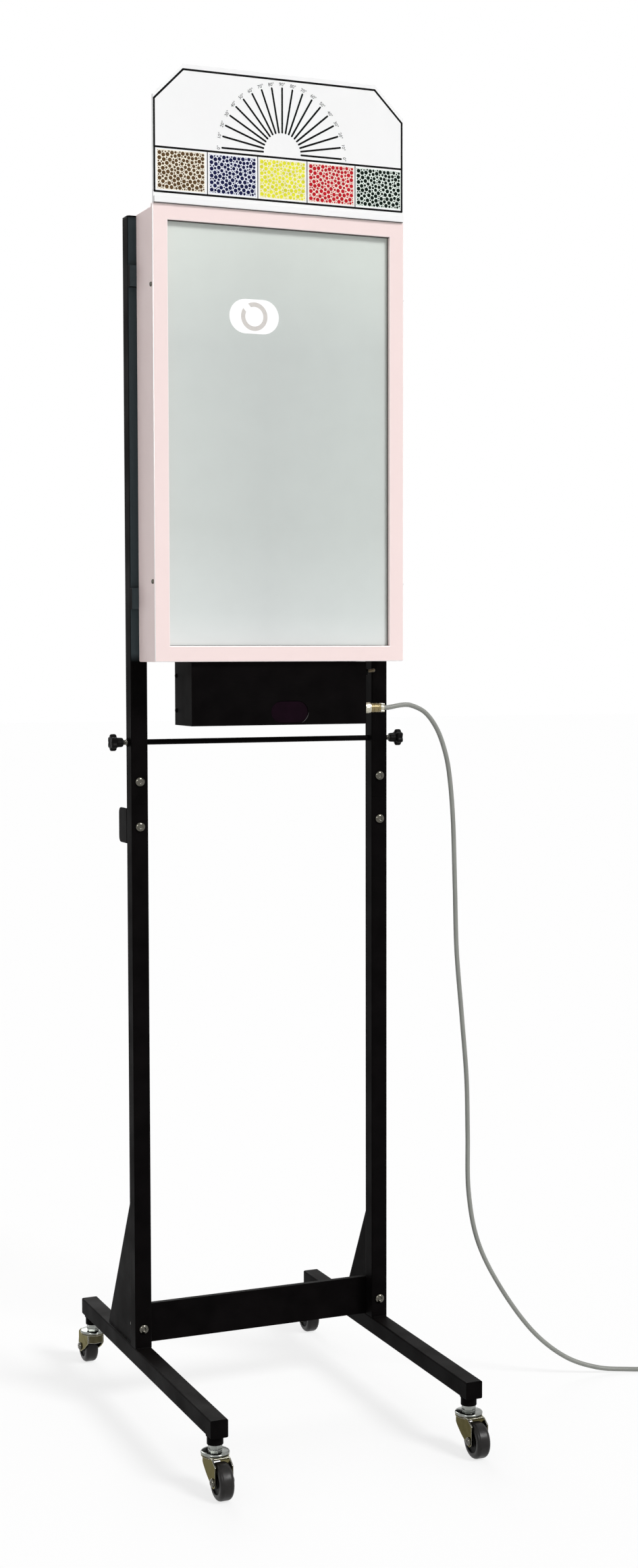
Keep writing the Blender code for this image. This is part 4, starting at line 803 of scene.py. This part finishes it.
def stem_profile():
    """Threaded stem, domed cup, and the pin's head under the fork's crown."""
    profile = [(0, STEM_TOP), (0.0046, STEM_TOP)] + ridges(0.0049, STEM_TOP - 0.0004, CUP_TOP)
    for share in np.linspace(0.5, 0.96, 9):
        profile.append((CUP_RADIUS * share, CUP_TOP - CUP_CROWN * (1 - sqrt(1 - share * share))))
    profile += mm((-0.3, 2), (0, 1.4), (0, 0.3), (-0.4, 0), at=(CUP_RADIUS, CUP_BOTTOM))
    profile.append((0.004, CUP_BOTTOM))
    return profile + mm((4, -0.3), (6.2, -0.3), (5.8, -1.4), (4, -2.3), (0, -2.3), at=(0, CROWN_BOTTOM))


def mirrored(profile):
    """A profile and its reflection below."""
    return profile + [(radius, -height) for radius, height in reversed(profile)]


def caster(mark, way):
    node = f"{mark}_caster"
    hub = middle(f"{node}_stem")
    hub.z = 0
    turn = moved(hub) @ spin(90 * way, "Z")
    axle = moved(middle(f"{node}_wheel")) @ ALONG_X

    form = Form().turned(stem_profile(), moved(hub), ZINC, 64)
    form.slab(hexagon(CASTER_NUT), CUP_TOP - 0.0024, CASTER_NUT_TOP, moved(hub) @ spin(30, "Z"), ZINC, 0.0007)
    form.done(f"stem_{mark}", "chrome", f"{node}_stem")

    form = Form()
    form.slab(crown_outline(), CROWN_BOTTOM, CROWN_TOP, turn, CHROME, 0.0007, 3)
    form.slab(wall_outline(), ARM_BACK.y, CROWN_BOTTOM + 0.001, turn, CHROME, 0.0004)
    for low, high in ((-ARM_OUTER, -ARM_INNER), (ARM_INNER, ARM_OUTER)):
        form.slab(arm_outline(), low, high, turn @ FACE_FRONT, CHROME, 0.0005)
    form.done(f"fork_{mark}", "chrome", f"{node}_fork", f"{mark}_fork")

    form = Form().turned(bar(AXLE_RADIUS, ARM_OUTER, -ARM_OUTER), axle, STEEL, 24)
    rim = (0, ARM_OUTER + GAP)
    rivet = mm((0, 1.6), (2.2, 1.8), (2.6, 2.7), (4.4, 2.6), (5.6, 1.4), (5.8, 0), (0, 0), at=rim)
    form.turned(rivet, axle, STEEL, 32).turned(rivet, axle @ spin(180, "X"), STEEL, 32)
    form.done(f"axle_{mark}", "bright_steel", f"{node}_axle", f"{mark}_fork")

    shoulder = (WHEEL_RADIUS - WHEEL_SHOULDER, WHEEL_HALF - WHEEL_SHOULDER)
    tyre = mirrored(arc(shoulder, WHEEL_SHOULDER, 90, 0, 10))
    tyre += mm((17.2, -10), (16.5, -9.4), (16.5, 9.4), (17.2, 10))
    web = mm((16.6, 8.2), (15, 7.8), (9.5, 7.8), (8.6, 8.4), (8.2, 10), (4, 10), (3.3, 9.4))
    form = Form().turned(tyre, axle, RUBBER, 64).turned(mirrored(web), axle, PLASTIC, 48)
    form.done(f"wheel_{mark}", "wheel_rubber", f"{node}_wheel", f"{mark}_wheel")


# Light box

BOX_PLACE = moved(0, BOX_FRONT, (BOX_LOW + BOX_HIGH) / 2) @ FACE_FRONT
BOX_CORNER = 0.0022
BORDER = 0.0225
RECESS = 0.008
SKIRT = BOX_BACK - BOX_FRONT - GAP
BOX_STEP = 0.004
LIP_DEPTH = 0.0058
BEND_RADIUS = 0.0016
WINDOW_RADIUS = 0.001
BENT_ROWS = (4, 5, 6, 7, 10, 11)
CLIP_SHEET = 0.0015
CLIP_TOP = 0.0133
BOX_SCREW = (0.0034, 0.0022)
BOX_SCREW_HEIGHTS = (1.6286, 1.2183)
CONTROL_SCREW = (0.0032, 0.0022)
CONTROL_SCREW_HEIGHTS = (1.086, 1.036)


def box_row(inset, depth, drop=0.0):
    """Outline round the box at one depth, its top edge let down by the drop."""
    width, height = 2 * (BOX_SIDE - inset), BOX_HIGH - BOX_LOW - 2 * inset - drop
    outline = rounded(width, height, max(BOX_CORNER - inset, 0.00005), 4)
    return [(x, y - drop / 2, -depth) for x, y in outline]


def bezel():
    """Bent sheet: skirt, front bend, face, and the return round the window."""
    rows = [box_row(0, SKIRT, BOX_STEP), box_row(0, LIP_DEPTH + 0.0004, BOX_STEP), box_row(0, LIP_DEPTH)]
    rows += [box_row(x, BEND_RADIUS - y) for x, y in arc((BEND_RADIUS, 0), BEND_RADIUS, 180, 90, 6)]
    turn = arc((BORDER - WINDOW_RADIUS, 0), WINDOW_RADIUS, 90, 0, 5)
    rows += [box_row(x, WINDOW_RADIUS - y) for x, y in turn]
    rows += [box_row(BORDER, RECESS), box_row(BORDER - SHEET, RECESS), box_row(BORDER - SHEET, SHEET)]
    rows += [box_row(SHEET, SHEET, BOX_STEP), box_row(SHEET, SKIRT, BOX_STEP)]
    # The bent rows take the lighter pink: painted highlight on the bends.
    form = Form().take(skin(rows, True, BENT_ROWS), BOX_PLACE, PINK, BEND_HIGHLIGHT)
    form.done("bezel", "pink_paint", "front_bezel", sharp=30)


def tray():
    """Rear shell inside the bezel's skirt."""
    wrap, back = SHEET + GAP, SKIRT + GAP
    turns = [(SHEET, back - SHEET), (SHEET, wrap), (0, wrap)]
    turns += [(0, back - 0.0012), (0.0004, back - 0.0004), (0.0012, back)]
    shell = skin([box_row(wrap + inset, depth, BOX_STEP) for inset, depth in turns])
    form = Form().take(shell, BOX_PLACE, PINK)
    form.done("tray", "pink_paint", "light_box_tray", sharp=30)


def panel_clip():
    """Bent strip that stands the panel on the box, behind the front lip."""
    low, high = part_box("panel_foot")
    behind, over = BOX_FRONT + LIP_DEPTH + 0.0007, GAP - BOX_STEP
    outline = [(low.y, GAP), (behind, GAP), (behind, over), (high.y, over), (high.y, over + CLIP_SHEET)]
    outline += [(behind + CLIP_SHEET, over + CLIP_SHEET), (behind + CLIP_SHEET, CLIP_TOP), (low.y, CLIP_TOP)]
    form = Form().slab(outline, -high.x, high.x, moved(0, 0, BOX_HIGH) @ FACE_SIDE, BOARD, 0.0003)
    form.done("panel_clip", "white_board", "panel_foot")


def side_screws():
    light, control = Form(), Form()
    for side, sign in SIDES:
        turn = OUTWARD[side]
        screws(light, BOX_SCREW, STEEL, turn, [sign * BOX_SIDE], BOX_FRONT + 0.0068, BOX_SCREW_HEIGHTS)
        screws(control, CONTROL_SCREW, BLACK, turn, [sign * CONTROL_SIDE], 0.016, CONTROL_SCREW_HEIGHTS)
    light.done("box_side_screws", "bright_steel")
    control.done("control_box_screws", "black_paint")


# Printed panel

PRINT = moved(0, BOX_FRONT, 0) @ FACE_FRONT
PRINT_FOOT = -0.0001
PRINT_TOP = 0.00012
GROUND_TOP = 0.00005
PANEL_SIDE = 0.188
PANEL_LOW = 1.7549
OUTLINE = oblong(PANEL_SIDE, PANEL_LOW, 1.881)
OUTLINE[3:3] = [(0.1452, 1.9238), (-0.1452, 1.9238)]
OUTLINE_WIDTH = 0.0028
DIVIDER = 1.8155
DIVIDER_WIDTH = 0.0027
CELL_LINES = (-0.1102, -0.035, 0.04, 0.1145)
CELL_LINE_WIDTH = 0.0012
DIAL = (0.0022, 1.8219)
SPOKE = pill(0.064, 0.0026, 6)
SPOKE_REACH = 0.0597
NUMBER_REACH = 0.0935
NUMBER_HEIGHT = 0.0066
DOT_FIELD = (0.0688, 0.0528)
DOT_MARGIN = 0.0012
DOT_SIZES = ((0.0028, 46), (0.0024, 44), (0.0018, 60), (0.0012, 90), (0.0008, 140), (0.0005, 160))
DOT_GAP = 0.00058
DOT_COLOURS = (
    ("brown", (0.108, 0.06, 0.025), (0.93, 0.88, 0.75)),
    ("navy", (0.01, 0.0115, 0.058), (0.83, 0.85, 0.93)),
    ("yellow", (0.77, 0.755, 0.042), (0.93, 0.89, 0.66)),
    ("red", (0.51, 0.012, 0.022), (0.93, 0.8, 0.72)),
    ("green", (0.0026, 0.009, 0.005), (0.82, 0.9, 0.84)),
)
# White lip along the panel's foot; the dark strip under it stands in for shade (painted shade).
PANEL_TRIM = (
    ("panel_lip", 1.744, (0.3788, 0.0084, 0.0006), 0.004, BOARD),
    ("panel_shade_strip", 1.7396, (0.3784, 0.001, 0.0003), 0.0021, GASKET_AND_SHADE),
)


def strip(form, a, b, width, spare=0.0):
    """Flat printed line from point to point, and past them by the spare."""
    a, b = Vector(a), Vector(b)
    line = oblong((b - a).length / 2 + spare, -width / 2, width / 2)
    place = PRINT @ moved(*(a + b) / 2, 0) @ spin(degrees(atan2(*(b - a).yx)), "Z")
    form.slab(line, PRINT_FOOT, PRINT_TOP, place, INK_AND_SHADE)


def panel_lines():
    form = Form()
    for a, b in zip(OUTLINE, OUTLINE[1:] + OUTLINE[:1]):
        strip(form, a, b, OUTLINE_WIDTH, 0.0007)
    strip(form, (-PANEL_SIDE, DIVIDER), (PANEL_SIDE, DIVIDER), DIVIDER_WIDTH)
    for x in CELL_LINES:
        strip(form, (x, PANEL_LOW + 0.0006), (x, DIVIDER), CELL_LINE_WIDTH)
    form.done("panel_lines", "white_board")


def panel_trim():
    """White strip along the panel's foot, and a dark strip under it that stands in for its shade (painted
    shade).
    """
    for name, z, shape, proud, look in PANEL_TRIM:
        form = Form().slab(rounded(*shape, 3), -0.0002, proud, PRINT @ moved(0, z, 0), look, 0.0003)
        form.done(name, "white_board")


def dial():
    spokes, numbers = Form(), Form()
    for turn in range(0, 190, 10):
        spoke = PRINT @ moved(*polar(DIAL, SPOKE_REACH, turn), 0) @ spin(turn, "Z")
        spokes.slab(SPOKE, PRINT_FOOT, PRINT_TOP, spoke, INK_AND_SHADE)
        place = PRINT @ moved(*polar(DIAL, NUMBER_REACH, turn), 0) @ spin(turn - 90, "Z")
        numbers.words(f"{min(turn, 180 - turn)}°", NUMBER_HEIGHT, 0.0001, place, INK_AND_SHADE)
    spokes.done("dial_spokes", "white_board")
    numbers.done("dial_numbers", "white_board")


def dot_layout():
    """Close packing of discs of falling size, the same on each run."""
    draw = random.Random(11)
    wide, tall = DOT_FIELD[0] / 2, DOT_FIELD[1] / 2
    across, up = np.meshgrid(np.linspace(-wide, wide, 271), np.linspace(-tall, tall, 217))
    room = np.minimum(wide - abs(across), tall - abs(up))
    dots = []
    for radius, count in DOT_SIZES:
        for i in range(count):
            fits = np.argwhere(room >= radius)
            if not len(fits):
                break
            tight = np.argsort(room[fits[:, 0], fits[:, 1]], kind="stable")
            spot = tuple(fits[tight[draw.randrange(max(len(tight) // 30, 1))]])
            x, y = float(across[spot]), float(up[spot])
            dots.append(circle(radius, 16, (x, y)))
            room = np.minimum(room, np.hypot(across - x, up - y) - radius - DOT_GAP)
    return dots


def dot_cells():
    """Five fields of dots, each on a pale ground."""
    edges = (-PANEL_SIDE,) + CELL_LINES + (PANEL_SIDE,)
    dots = dot_layout()
    field = rounded(DOT_FIELD[0] + DOT_MARGIN, DOT_FIELD[1] + DOT_MARGIN, 0.0008, 3)
    for (name, colour, ground), left, right in zip(DOT_COLOURS, edges, edges[1:]):
        ink = Look(f"{name}_ink", colour, 0.45, shine=0.05).mottle(120, 0.15).gloss(60, 0.08)
        paper = Look(f"{name}_ground", ground, 0.5, shine=0.05).mottle(120, 0.04).gloss(60, 0.08)
        cell = PRINT @ moved((left + right) / 2, (PANEL_LOW + DIVIDER) / 2, 0)
        form = Form().slab(field, PRINT_FOOT, GROUND_TOP, cell, paper)
        for dot in dots:
            form.slab(dot, PRINT_FOOT, PRINT_TOP, cell, ink)
        form.done(f"{name}_dots", "white_board")


# Screen

SCREEN_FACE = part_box("screen")[0].y
LIT_LOW = Vector((-0.0754, 1.569))
LIT_HIGH = Vector((-0.0005, 1.6172))
RING_RADIUS = 0.02
RING_STROKE = 0.0063
RING_GAP = 0.005
RING_TURN = 132
# Painted light: the screen brighter towards its top, bottom and sides, with a bright line near its right
# edge.
RISE_PAINTED_LIGHT = (
    (0.03, (0.93, 0.965, 0.95)),
    (0.11, (0.805, 0.85, 0.83)),
    (0.3, (0.707, 0.753, 0.725)),
    (0.7, (0.707, 0.753, 0.725)),
    (0.96, (0.845, 0.9, 0.845)),
)
ASIDE_PAINTED_LIGHT = (
    (0.05, (0.87, 0.87, 0.87)),
    (0.45, (0.783, 0.783, 0.787)),
    (0.935, (0.835, 0.844, 0.84)),
    (0.9385, (1, 1, 0.95)),
)
CLOUD_TINTS = ((0.3, (0.975, 0.975, 0.975)), (0.7, (1, 1, 1)))


def screen():
    """Frosted sheet with painted light, brighter towards its edges, and a dark seal that is part seal, part
    painted shade.
    """
    sheet = Look("frosted_screen", (0.6, 0.64, 0.61), 0.34)
    tint = sheet.ramp(sheet.remap(sheet.at("Z"), 0.0, 1.0, BOX_LOW, BOX_HIGH), RISE_PAINTED_LIGHT)
    sides = sheet.ramp(sheet.remap(sheet.at("X"), 0.0, 1.0, -BOX_SIDE, BOX_SIDE), ASIDE_PAINTED_LIGHT)
    for other in (sides, sheet.ramp(sheet.noise(22, 6), CLOUD_TINTS)):
        tint = sheet.mix(1.0, tint, other, "MULTIPLY")
    sheet.paint(tint).gloss(40, 0.06).grain(1800, 0.04).on("screen")

    place = moved(0, SCREEN_FACE, (BOX_LOW + BOX_HIGH) / 2) @ FACE_FRONT
    wide, tall = 2 * (BOX_SIDE - BORDER), BOX_HIGH - BOX_LOW - 2 * BORDER
    outer = rounded(wide - 0.0001, tall - 0.0001, 0.0004, 3)
    inner = rounded(wide - 0.001, tall - 0.001, 0.0002, 3)
    # Dark band on the window's walls next to the sheet, part seal and part painted shade; a dark strip on the
    # top wall, painted shade.
    top = oblong(wide / 2, tall / 2 - 0.0009, tall / 2 - 0.0001)
    form = Form().band(outer, inner, 0, 0.0024, place, GASKET_AND_SHADE)
    form.slab(top, 0.002, RECESS - 0.0016, place, GASKET_AND_SHADE).done("screen_seal_and_shade", "frosted_screen")


def lit_figure():
    """The one lit field on the screen, with its open ring."""
    lit = Look("lit_white", (0.02, 0.02, 0.02), 0.4).glow((0.94, 0.945, 0.94), (1, 1, 1), 35)
    grey = Look("figure_grey", (0.02, 0.02, 0.02), 0.4).glow((0.57, 0.54, 0.51), (0.62, 0.59, 0.56), 300)
    place = moved(0, SCREEN_FACE, 0) @ FACE_FRONT @ moved(*(LIT_LOW + LIT_HIGH) / 2, 0)
    Form().slab(pill(*(LIT_HIGH - LIT_LOW)), -0.0002, 0.0002, place, lit).done("lit_field", "frosted_screen")
    ring = []
    for radius, way in ((RING_RADIUS, 1), (RING_RADIUS - RING_STROKE, -1)):
        gap = degrees(asin(RING_GAP / radius))
        ring += arc((0, 0), radius, *(RING_TURN + gap, RING_TURN + 360 - gap)[::way], 72)
    Form().slab(ring, -0.0001, 0.0004, place, grey).done("test_ring", "frosted_screen")


# Control box

LENS_X = 0.0145
LENS_LENGTH = 0.057
LENS_HEIGHT = 0.031
LENS_RISE = ((0, -0.0024), (0, -0.0011), (0.0003, -0.0009), (0.006, -0.0005), (0.014, -0.0003))
RIM_CENTRE = (0.013, 0)
RIM_RADIUS = 0.0164
RIM_WIDTH = 0.0009
RIM_START = -72
RIM_STEPS = 12
TOGGLE = moved(CONTROL_SIDE, -0.033, 1.0904)
TOGGLE_PIVOT = 0.005
TOGGLE_TILT = -9
CLAMP_SCREW = (0.0019, 0.0012)


def receiver():
    """Dark lens, and a painted highlight on the rim at its right end."""
    place = moved(LENS_X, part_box("control_case")[0].y, middle("receiver_window").z) @ FACE_FRONT
    rows = []
    for inset, rise in LENS_RISE:
        outline = pill(LENS_LENGTH - 2 * inset, LENS_HEIGHT - 2 * inset, 24)
        rows.append([(x, y, rise) for x, y in outline])
    Form().take(skin(rows), place, LENS).done("receiver_lens", "dark_window", "receiver_window", sharp=60)
    # Painted highlight: a lighter crescent on the lens's lower right rim.
    painted_glint = Look("lens_painted_highlight", (0.045, 0.04, 0.041), 0.35).mottle(600, 0.3).gloss(200, 0.1)
    rim = arc(RIM_CENTRE, RIM_RADIUS, RIM_START, 0, RIM_STEPS)
    for i in range(RIM_STEPS - 1, 0, -1):
        width = RIM_WIDTH * sin(pi * i / RIM_STEPS)
        rim.append(polar(RIM_CENTRE, RIM_RADIUS - width, RIM_START * (1 - i / RIM_STEPS)))
    Form().slab(rim, -0.0002, 0.0001, place, painted_glint).done("lens_rim_highlight", "black_paint")


def toggle():
    place = TOGGLE @ ALONG_X
    bush = mm((4.2, 8.5), (5.4, 8.5)) + ridges(0.0057, 0.0081, 0.0003, 0.0009, 0.0004)
    form = Form().turned(bush + mm((5.7, -12), (4.2, -12)), place, PLASTIC, 40)
    form.slab(hexagon(0.0135), GAP, GAP + 0.0022, place, PLASTIC, 0.0004)
    form.turned(bar(0.0044, -0.001, -0.004), place, PLASTIC, 24)
    form.slab(rounded(0.013, 0.013, 0.001), -0.0195, -0.0016, place, PLASTIC, 0.0005)
    form.done("toggle_bush", "bright_steel", "toggle_switch")
    bat = mm((0, 16.5), (1.2, 16.3), (2.1, 15.7), (2.6, 14.6), (2.7, 13.4), (1.7, 2.2), (2.4, 1.2))
    bat += mm((2.7, 0), (2.4, -1.2), (1.5, -2.2), (0, -2.7))
    pivot = TOGGLE @ moved(TOGGLE_PIVOT, 0, 0) @ spin(TOGGLE_TILT, "Y") @ ALONG_X
    form = Form().turned(bat, pivot, LEVER, 32)
    form.done("toggle_bat", "bright_steel", "toggle_lever", "toggle_lever")


def connector():
    """Panel socket, and the cable plug with its ring, sleeve and clamp."""
    at = middle("connector_plug")
    at.x = CONTROL_SIDE
    place = moved(at) @ ALONG_X
    flange = mm((0, 14.5), (5.5, 14.5), (5.5, 2.5), (8.8, 2.5), (9, 2.1), (9, 0.6), (8.8, 0.3))
    flange += mm((5.5, 0.3), (5.5, -11.2), (0, -11.2))
    Form().turned(flange, place, NICKEL, 40).done("cable_socket", "nickel", "connector_socket")
    grip = ribbed(0.0082, 40, 0.0004)
    ring = mm((5.8, 2.8), (7.8, 2.8), (8.2, 3.4), (8.2, 4.4)) + [(grip, 0.0047), (grip, 0.01)]
    ring += mm((8.2, 10.3), (8.2, 11.8), (7.8, 12.3), (5.8, 12.3))
    sleeve = mm((5.8, 12), (6.6, 12), (6.6, 16), (6.1, 16.3), (6.1, 17.3), (6.6, 17.6), (6.6, 22.5))
    sleeve += mm((6.1, 22.8), (6.1, 23.8), (6.6, 24.1), (6.6, 27), (6, 28.5), (5.8, 28.5))
    clamp = mm((0, 34), (5, 34), (5.6, 33), (5.6, 27), (0, 27))
    form = Form().turned(ring, place, NICKEL, 120).turned(sleeve, place, BRASS)
    form.turned(clamp, place, NICKEL, 40)
    for saddle in (place, place @ spin(180, "Z")):
        form.slab(rounded(0.0028, 0.0104, 0.001), 0.0288, 0.0342, saddle @ moved(0.005, 0, 0), NICKEL, 0.0004)
        pan_head(form, saddle @ moved(0.0057, 0, 0.0315) @ ALONG_X, *CLAMP_SCREW, NICKEL)
    form.done("cable_plug", "nickel", "connector_plug")


# Welds and small fittings

WELD_PITCH = 0.0008
WELD_HEIGHT = 0.1048
POST_BEAD = 0.0016
BEAD = 0.0013
GUSSET_INNER_FOOT = 0.168
GUSSET_OUTER_FOOT = 0.11
CASTER_REACH = 0.278
BOSS_BEAD_RADIUS = 0.0113
BOSS_BEAD_HEIGHT = 0.0795
COVER_SCREW = (0.003, 0.002)
BRACKET_SCREW = (0.004, 0.0026)


def bead(form, points, radius, seed):
    """Rippled weld along a run of points."""
    draw = random.Random(seed)
    run = []
    for a, b in zip(points, points[1:]):
        a, b = Vector(a), Vector(b)
        count = max(int((b - a).length / WELD_PITCH), 1)
        run += [a.lerp(b, i / count) for i in range(count)]
    run.append(Vector(points[-1]))
    last = len(run) - 1
    side = Vector((0, 0, 1))
    rows = []
    for i, point in enumerate(run):
        ripple = 0.92 + 0.16 * (i % 2) + draw.uniform(-0.08, 0.08)
        ahead = (run[min(i + 1, last)] - run[max(i - 1, 0)]).normalized()
        if abs(ahead.dot(side)) > 0.9:
            side = Vector((0, 1, 0))
        across = ahead.cross(side).normalized()
        up = across.cross(ahead)
        outline = circle(radius * (ripple if 0 < i < last else 0.4), 8)
        rows.append([point + x * across + y * up for x, y in outline])
    form.take(skin(rows), Matrix(), BLACK)


def welds():
    back = POST_BACK + 0.0002
    for side, sign in SIDES:
        x = sign * POST_X
        form = Form()
        for y, seed in ((POST_Y - TUBE / 2, 3), (POST_BACK, 4)):
            bead(form, [(x - 0.0115, y, WELD_HEIGHT), (x + 0.0115, y, WELD_HEIGHT)], POST_BEAD, seed)
        low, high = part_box(f"{side}_gusset")
        for face in (low.x, high.x):
            foot = GUSSET_INNER_FOOT if sign * face < 0.196 else GUSSET_OUTER_FOOT
            bead(form, [(face, low.y + 0.004, WELD_HEIGHT), (face, high.y - 0.004, WELD_HEIGHT)], BEAD, 5)
            bead(form, [(face, back, high.z - 0.004), (face, back, foot)], BEAD, 6)
        for end, way in ENDS:
            outline = circle(BOSS_BEAD_RADIUS, 40, (x, way * CASTER_REACH))
            ring = [(*point, BOSS_BEAD_HEIGHT) for point in outline]
            bead(form, ring + ring[:1], BEAD, 7)
        form.done(f"{side}_welds", "black_paint")


def caps():
    """Plug in the top of each post."""
    for side, sign in SIDES:
        low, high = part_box(f"{side}_post_cap")
        at = moved(sign * POST_X, POST_Y, high.z)
        form = Form().slab(rounded(TUBE, TUBE, 0.0022), -0.002, 0, at, PLASTIC, 0.0009, 3)
        form.slab(rounded(0.0212, 0.0212, 0.0005, 1), low.z - high.z, -0.0015, at, PLASTIC)
        form.done(f"{side}_cap", "black_plastic", f"{side}_post_cap")


def seams():
    """Paint line where the two lengths of each post meet."""
    outer, inner = rounded(0.0248, 0.0248, 0.002), rounded(0.0224, 0.0224, 0.0008)
    for side, sign in SIDES:
        low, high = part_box(f"{side}_lower_post")[1].z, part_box(f"{side}_upper_post")[0].z
        form = Form().band(outer, inner, low, high, moved(sign * POST_X, POST_Y, 0), BLACK)
        form.done(f"{side}_post_seam", "black_paint")


def rear_screws():
    """Screws on faces that the picture does not show."""
    form = Form()
    heights = (BOX_LOW + 0.022, BOX_HIGH - 0.022)
    screws(form, BOX_SCREW, STEEL, FACE_REAR, (-0.165, 0, 0.165), BOX_BACK, heights)
    form.done("tray_screws", "bright_steel")
    form = Form()
    cover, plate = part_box("control_cover")[1].y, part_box("rear_bracket")[0].y + 0.0025
    screws(form, COVER_SCREW, BLACK, FACE_REAR, (-0.125, 0.125), cover, (1.0245, 1.096))
    screws(form, BRACKET_SCREW, BLACK, FACE_REAR, [-0.187], plate, (0.856, 0.882))
    form.done("rear_screws", "black_paint")


# Stage and light

def seen(tree):
    """One where a camera, glossy or transmission ray looks, else nought."""
    out = add(tree, "LightPath", "Is Camera Ray")
    rays = out.node.outputs
    for ray in ("Is Glossy Ray", "Is Transmission Ray"):
        out = add(tree, "Math", "Value", {0: out, 1: rays[ray]}, operation="MAXIMUM")
    return out


def make_stage():
    scene = bpy.context.scene
    scene.view_settings.view_transform = "Standard"
    scene.world = bpy.data.worlds.new("studio")
    scene.world.use_nodes = True
    tree = scene.world.node_tree
    back = tree.nodes["Background"].inputs
    strength = add(tree, "MapRange", "Result", {"Value": seen(tree), "To Min": WORLD_LIGHT, "To Max": 1.0})
    tree.links.new(strength, back["Strength"])
    back["Color"].default_value = (1, 1, 1, 1)

    mesh = bpy.data.meshes.new("floor")
    corners = [(x, y, 0) for x, y in oblong(FLOOR_REACH, -FLOOR_REACH, FLOOR_REACH)]
    mesh.from_pydata(corners, [], [(0, 1, 2, 3)])
    look = Look("floor", (0.86, 0.86, 0.86), 1.0, shine=0.0)
    glow = look.add("Emission", "Emission", {"Strength": FLOOR_GLOW})
    share = look.times(seen(look.tree), FLOOR_SHARE)
    blend = look.add("MixShader", "Shader", {"Fac": share, 1: look.shader.outputs["BSDF"], 2: glow})
    look.tree.links.new(blend, look.tree.nodes["Material Output"].inputs["Surface"])
    mesh.materials.append(look.material)
    placed("floor", mesh)


def aim(name, kind, at, power):
    light = placed(name, bpy.data.lights.new(name, kind))
    light.data.energy = power
    light.location = at
    light.rotation_euler = (LIGHT_TARGET - Vector(at)).to_track_quat("-Z", "Y").to_euler()
    return light


def make_lights():
    """A soft key, a weaker back light, and a softbox that only shows in gloss."""
    aim("key", "SUN", (1.3, -2.6, 3.7), 2.08).data.angle = radians(18)
    aim("back", "SUN", (0.3, 3.0, 2.9), 1.0).data.angle = radians(30)
    softbox = aim("softbox", "AREA", (-2.9, -2.6, 2.3), 50)
    softbox.data.size = 1.2
    softbox.visible_diffuse = False


make_camera()
dress_nodes()
make_cord()
post_fasteners()
knobs()
rod()
for end, way in ENDS:
    for side, sign in SIDES:
        caster(f"{end}_{side}", way)
bezel()
tray()
panel_clip()
side_screws()
panel_lines()
panel_trim()
dial()
dot_cells()
screen()
lit_figure()
receiver()
toggle()
connector()
welds()
caps()
seams()
rear_screws()
make_stage()
make_lights()
